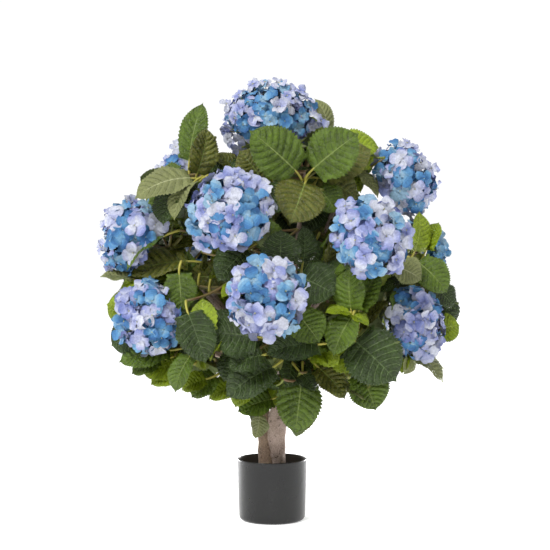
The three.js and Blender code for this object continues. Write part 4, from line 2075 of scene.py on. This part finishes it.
class SepalDie:
    """One sepal's points and faces on a unit disc."""

    tone_count: int = 5

    def __init__(self, lines: int, thick: float) -> None:
        """Lays out the points, the upper faces and the lower faces.

        Args:
            lines: how many points lie on each side.
            thick: the cloth's thickness in mm.
        """
        a, b = np.meshgrid(np.linspace(-1, 1, lines), np.linspace(-1, 1, lines), indexing="ij")
        x, y = a * np.sqrt(1 - b**2 / 2), b * np.sqrt(1 - a**2 / 2)
        inner = np.zeros((lines, lines), bool)
        inner[1:-1, 1:-1] = True
        top = np.arange(lines**2).reshape(lines, lines)
        low = top.copy()
        low[inner] = lines**2 + np.arange(inner.sum())
        self.x = np.concatenate([x.ravel(), x[inner]])
        self.y = np.concatenate([y.ravel(), y[inner]])
        self.drop = np.concatenate([np.zeros(lines**2), np.ones(inner.sum())]) * thick
        self.quads = np.concatenate([cells(top), cells(low, flipped=True)])
        rows = np.repeat(np.arange(lines - 1), lines - 1) * self.tone_count // (lines - 1)
        self.tones = np.tile(rows, 2)
        self.rim = np.concatenate([~inner.ravel(), np.zeros(inner.sum(), bool)])


@dataclass(frozen=True)
class SepalForm:
    """How freely sepals are bent: the least and the most of each bend, as shares or in radians."""

    cup: Pair = (-0.12, 0.5)
    hinge: float = 0.24
    length: Pair = (0.86, 1.12)
    wide: Pair = (1.02, 1.26)
    droop: Pair = (-0.6, 0.12)
    curl: Pair = (-0.3, 0.3)
    tilt: Pair = (-0.05, 0.22)
    lap: float = 0.8
    crimps: tuple[Pair, Pair] = ((0.06, 0.13), (0.03, 0.08))
    crimp_waves: tuple[tuple[int, int], ...] = ((2, 5), (6, 9))
    notch: float = 0.07
    notch_half: float = 0.3
    notch_from: float = 0.7
    turn: Pair = (-0.2, 0.2)
    throat: float = 0.02


class BloomMaker:
    """Makes mophead blooms out of florets with four sepals."""

    form = SepalForm()

    grids: tuple[int, ...] = (7, 5, 4)
    back_share: float = 0.72
    sepal_thick: float = 0.45
    eye_radius: float = 1.5
    front_depth: float = 0.88
    front_view: float = 0.3
    pale_rims: float = 0.35

    def __init__(self, rng: np.random.Generator) -> None:
        """Makes the sepal dies of the three shells.

        Args:
            rng: the source of every floret's choices.
        """
        self.rng = rng
        self.dies = [SepalDie(n, self.sepal_thick) for n in self.grids]

    def sepals(self, die: SepalDie, size: float, wild: float) -> np.ndarray:
        """Shapes the four sepals of one floret.

        Args:
            die: the sepal's points.
            size: from its eye to a sepal's tip, in mm.
            wild: how strongly the sepals bend and crumple.

        Returns:
            The points of the four sepals, with the eye at the origin and the face along z.
        """
        rng, form = self.rng, self.form
        cup = rng.uniform(*form.cup)
        parts = []
        for k in range(4):
            length = size * rng.uniform(*form.length)
            wide = length * rng.uniform(*form.wide)
            along = (die.x + 1) / 2
            span = die.y * (0.5 + 0.5 * np.sqrt(along)) * wide / 2
            edge = np.hypot(die.x, die.y)
            z = length * rng.uniform(*form.droop) * along**2 * wild
            z = z + rng.uniform(*form.curl) * span**2 / wide * 2 * wild
            z = z + rng.uniform(*form.tilt) * span + (k % 2) * form.lap
            around = np.arctan2(die.y, die.x)
            crimp = 0.0
            for depth, waves in zip(form.crimps, form.crimp_waves):
                rise, count, start = rng.uniform(*depth), rng.integers(*waves), rng.uniform(0, 6.28)
                crimp = crimp + rise * np.sin(count * around + start)
            z = z + crimp * size * wild * edge**2 - die.drop
            cut = np.exp(-((die.y / form.notch_half) ** 2)) * (die.x > form.notch_from)
            x = along * length * (1 - form.notch * cut)
            hinge = cup + rng.normal() * form.hinge
            x, z = (x * math.cos(hinge) - z * math.sin(hinge),
                    z * math.cos(hinge) + x * math.sin(hinge))
            turn = k * math.pi / 2 + rng.uniform(*form.turn)
            x = x + size * form.throat
            parts.append(np.stack([x * math.cos(turn) - span * math.sin(turn),
                                   x * math.sin(turn) + span * math.cos(turn), z], 1))
        return np.stack(parts)

    def eye(self, place: np.ndarray, axes: np.ndarray) -> Shape:
        """Makes a floret's eye, a small bead.

        Args:
            place: its centre in mm.
            axes: rows of its side, second side and facing directions.

        Returns:
            The bead.
        """
        radius = self.eye_radius * self.rng.uniform(0.85, 1.2)
        heights = np.array((-0.6, -0.1, 0.45, 0.8))
        path = place + axes[2] * heights[:, None] * radius
        return tube(path, radius * np.array((0.55, 1.0, 0.85, 0.35)), 6, EYE_SLOT)

    def local(self, dome: Dome) -> tuple[np.ndarray, np.ndarray]:
        """Finds a bloom's centre and its axes.

        Args:
            dome: the bloom.

        Returns:
            The centre, and rows of side, lift and facing.
        """
        facing = unit(np.array(dome.facing, float))
        side, lift = square_to(facing, UP)
        return np.array(dome.centre, float), np.stack([side, lift, facing])

    def normal_at(self, dome: Dome, axes: np.ndarray, away: np.ndarray) -> np.ndarray:
        """Finds the outward direction of a bloom's skin.

        Args:
            dome: the bloom.
            axes: its axes.
            away: the place, from its centre.

        Returns:
            The unit normal.
        """
        part = axes @ away
        half = dome.half if part[2] > 0 else dome.half * self.back_share
        return unit((part / (dome.radius**2, dome.radius**2, half**2)) @ axes)

    def front_spots(self, dome: Dome) -> list[Spot]:
        """Finds the spots of the florets that the front layout shows.

        Args:
            dome: the bloom.

        Returns:
            The spots.
        """
        centre, axes = self.local(dome)
        spots = []
        for across, down, half_span, lot in FRONT_FLORETS.get(dome.name, ()):
            way = unit(LAYOUT.place(across, down, 0.0) - EYE)
            middle = float(np.dot(centre - EYE, way))
            line = EYE + way * (middle + np.linspace(-120, 120, 241))[:, None]
            part = (line - centre) @ axes.T
            half = np.where(part[:, 2] > 0, dome.half, dome.half * self.back_share)
            flat = (part[:, 0] ** 2 + part[:, 1] ** 2) / dome.radius**2
            size = np.sqrt(flat + (part[:, 2] / half) ** 2)
            inside = np.nonzero(size <= self.front_depth * self.rng.uniform(0.96, 1.03))[0]
            at = line[inside[0] if len(inside) else int(np.argmin(size))]
            normal = self.normal_at(dome, axes, at - centre)
            normal = unit(normal + self.rng.normal(size=3) * 0.24 - way * 0.7)
            spots.append(Spot(at, normal, half_span * LAYOUT.square * 1.06, lot))
        return spots

    def shell_spots(self, dome: Dome, shell: Shell, taken: list[Spot]) -> list[Spot]:
        """Spreads the florets of one shell.

        Args:
            dome: the bloom.
            shell: the shell.
            taken: spots whose view is kept free.

        Returns:
            The spots.
        """
        rng = self.rng
        centre, axes = self.local(dome)
        weights = np.array([w for _, w in shell.lots])
        spin = rng.uniform(0, 2 * math.pi)
        view = unit(EYE - centre)
        spots = []
        for k in range(shell.count):
            high = 1 - (1 - shell.lowest) * (k + 0.5 + rng.uniform(-0.3, 0.3)) / shell.count
            turn = spin + k * GOLDEN + rng.uniform(-0.1, 0.1)
            ring = math.sqrt(max(0.0, 1 - high**2))
            half = dome.half if high > 0 else dome.half * self.back_share
            part = np.array((ring * math.cos(turn) * dome.radius,
                             ring * math.sin(turn) * dome.radius, high * half))
            away = part @ axes * shell.depth * rng.uniform(0.95, 1.03)
            normal = self.normal_at(dome, axes, away)
            lot = shell.lots[rng.choice(len(weights), p=weights / weights.sum())][0]
            size = shell.size * dome.radius / 80 * rng.uniform(0.9, 1.1)
            lean = rng.normal(size=3) * shell.lean
            if taken and float(np.dot(normal, view)) > self.front_view:
                continue
            if any(np.linalg.norm(centre + away - spot.place) < size * 0.8 for spot in taken):
                continue
            spots.append(Spot(centre + away, unit(normal + lean), size, lot))
        return spots

    def bloom(self, dome: Dome, bundle: Bundle) -> None:
        """Makes one bloom.

        Args:
            dome: the bloom's place and size.
            bundle: the piece that it is joined to.
        """
        rng = self.rng
        centre, axes = self.local(dome)
        hub = centre - axes[2] * dome.half * 0.42
        front = self.front_spots(dome)
        shells = [self.shell_spots(dome, shell, front if shell is SHELLS[0] else [])
                  for shell in SHELLS]
        shells[0] = front + shells[0]
        none = np.zeros((0, 3), int)
        for rank, spots in enumerate(shells):
            for spot in spots:
                first, second = square_to(spot.normal, unit(rng.normal(size=3)))
                turned = np.stack([first, second, spot.normal])
                tones = np.array(spot.lot.value)
                if rng.uniform() < self.pale_rims:
                    tones = tones[::-1]
                lilac = tones[2] < LILAC_STEPS
                low, high = (0, LILAC_STEPS - 1) if lilac else (LILAC_STEPS, EYE_SLOT - 1)
                die = self.dies[rank]
                for sepal in self.sepals(die, spot.size, 1.0 + 0.35 * rank):
                    slots = np.clip(tones + rng.integers(-1, 2), low, high)[die.tones]
                    points = spot.place + sepal @ turned
                    bundle.add(Shape(points, die.quads, slots, none, none[:, 0], die.rim))
                if rank < 2:
                    bundle.add(self.eye(spot.place + spot.normal * 0.8, turned))
                    start = hub + (spot.place - hub) * 0.12
                    bend = hub + (spot.place - hub) * 0.55 + rng.normal(size=3) * 2
                    stem = bezier(start, bend, spot.place - spot.normal, 4)
                    bundle.add(tube(stem, np.array((1.1, 0.9, 0.8, 1.1)), 5, STALK_SLOT))

    def build(self, name: str, members: tuple[str, ...],
              finishes: list[bpy.types.Material]) -> bpy.types.Object:
        """Makes one piece of several blooms.

        Args:
            name: the piece's name.
            members: the nodes of its blooms.
            finishes: the materials in the order of the slots.

        Returns:
            The piece.
        """
        bundle = Bundle(name)
        for dome in DOMES:
            if dome.name in members:
                self.bloom(dome, bundle)
        LOG.info("%s: %d triangles", name, bundle.triangles())
        return bundle.build(finishes)


# ---- studio


@dataclass(frozen=True)
class Lamp:
    """A soft light: its place and aim in metres, its size and its power."""

    name: str
    place: Triple
    aim: Triple
    size: Pair
    power: float


@dataclass(frozen=True)
class Studio:
    """The camera, the white surroundings, the soft lights and the floor."""

    lens: float = 77.69
    sensor: float = 36.0
    sun_way: Triple = (0.55, 0.75, -0.95)
    sun_power: float = 2.5
    sun_spread: float = 20.0
    high_sky: float = 0.9
    horizon: float = 0.5
    zenith: float = 0.9
    backdrop: float = 1.03
    lamps: tuple[Lamp, ...] = (
        Lamp("key", (-1.5, -2.0, 2.0), (0, 0, 0.5), (0.9, 0.9), 10),
        Lamp("strip_left", (-1.15, 1.55, 0.22), (0, 0, 0.1), (1.1, 0.5), 60),
        Lamp("strip_right", (1.15, 1.55, 0.22), (0, 0, 0.1), (1.1, 0.5), 60),
    )

    def aim_at(self, thing: bpy.types.Object, place: Triple, aim: Triple) -> None:
        """Puts an object somewhere and turns its -z axis to a point.

        Args:
            thing: the lamp's object.
            place: where it goes.
            aim: what it looks at.
        """
        axis = -unit(np.array(aim) - np.array(place))
        thing.location = place
        pitch = math.acos(max(-1.0, min(1.0, axis[2])))
        yaw = math.atan2(axis[1], axis[0]) + math.pi / 2
        thing.rotation_euler = (pitch, 0, yaw)

    def build_sky(self, scene: bpy.types.Scene) -> None:
        """Makes the surroundings: a white backdrop, and a softer light that grows overhead.

        Args:
            scene: the scene.
        """
        graph = Graph("studio", sky=True)
        height = graph.node("ShaderNodeSeparateXYZ", {}, {0: graph.place}, "Z")
        glow = graph.node("ShaderNodeMapRange", {}, {
            "Value": height, "From Min": 0.0, "From Max": self.high_sky,
            "To Min": self.horizon, "To Max": self.zenith})
        seen = graph.node("ShaderNodeLightPath", {}, {}, "Is Camera Ray")
        strength = graph.node("ShaderNodeMix", {}, {"Factor": seen, "A": glow, "B": self.backdrop},
                              "Result")
        scene.world = graph.finish(Color=(1, 1, 1, 1), Strength=strength)

    def build(self) -> None:
        """Sets up the whole studio."""
        scene = bpy.context.scene
        data = bpy.data.cameras.new("camera")
        data.lens, data.sensor_width = self.lens, self.sensor
        camera = bpy.data.objects.new("camera", data)
        camera.location = tuple(v * MM for v in LAYOUT.eye)
        camera.rotation_euler = (math.pi / 2, 0, 0)
        scene.collection.objects.link(camera)
        scene.camera = camera
        scene.view_settings.view_transform = "Standard"
        self.build_sky(scene)
        sun = bpy.data.lights.new("sun", "SUN")
        sun.energy, sun.angle = self.sun_power, math.radians(self.sun_spread)
        thing = bpy.data.objects.new("sun", sun)
        self.aim_at(thing, tuple(-3 * v for v in self.sun_way), (0, 0, 0))
        scene.collection.objects.link(thing)
        for lamp in self.lamps:
            light = bpy.data.lights.new(lamp.name, "AREA")
            light.shape, light.energy = "RECTANGLE", lamp.power
            light.size, light.size_y = lamp.size
            thing = bpy.data.objects.new(lamp.name, light)
            self.aim_at(thing, lamp.place, lamp.aim)
            thing.visible_camera = False
            scene.collection.objects.link(thing)
        bundle = Bundle("floor")
        bundle.add(lathe([(0, -20), (20000, -20), (20000, -0.4), (900, -0.4), (0, -0.4)], 96))
        floor = bundle.build([FloorFinish().make()])


# ---- main


def fit(piece: bpy.types.Object, slot: str, nodes: tuple[str, ...]) -> None:
    """Hangs a piece on the shrub's one body.

    Args:
        piece: the piece.
        slot: the name of a finish slot, which is only written to the log.
        nodes: the nodes it stands for.
    """
    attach(piece, "root")
    if nodes:
        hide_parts(*nodes)
    LOG.info("piece %s in slot %s", piece.name, slot)


def main() -> None:
    """Builds the shrub around the frame."""
    logging.basicConfig(level=logging.INFO, format="%(message)s")
    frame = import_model()
    Studio().build()
    pot = Pot()
    fit(pot.build_pot(), "pot_plastic", ("pot",))
    fit(pot.build_fill(np.random.default_rng(SEED)), "pot_fill", ("pot_fill",))
    limbs = Limbs().build(np.random.default_rng(SEED + 1))
    fit(limbs, "bark", ("trunk", *(b.name for b in BOUGHS)))
    for piece, members in Foliage(frame["nodes"], np.random.default_rng(SEED + 2)).build():
        fit(piece, "foliage", members)
    finishes = [f.make() for f in BLOOM_FINISHES]
    maker = BloomMaker(np.random.default_rng(SEED + 3))
    for name, members in BLOOM_PIECES:
        fit(maker.build(name, members, finishes), "bloom", members)


if __name__ == "__main__":
    main()
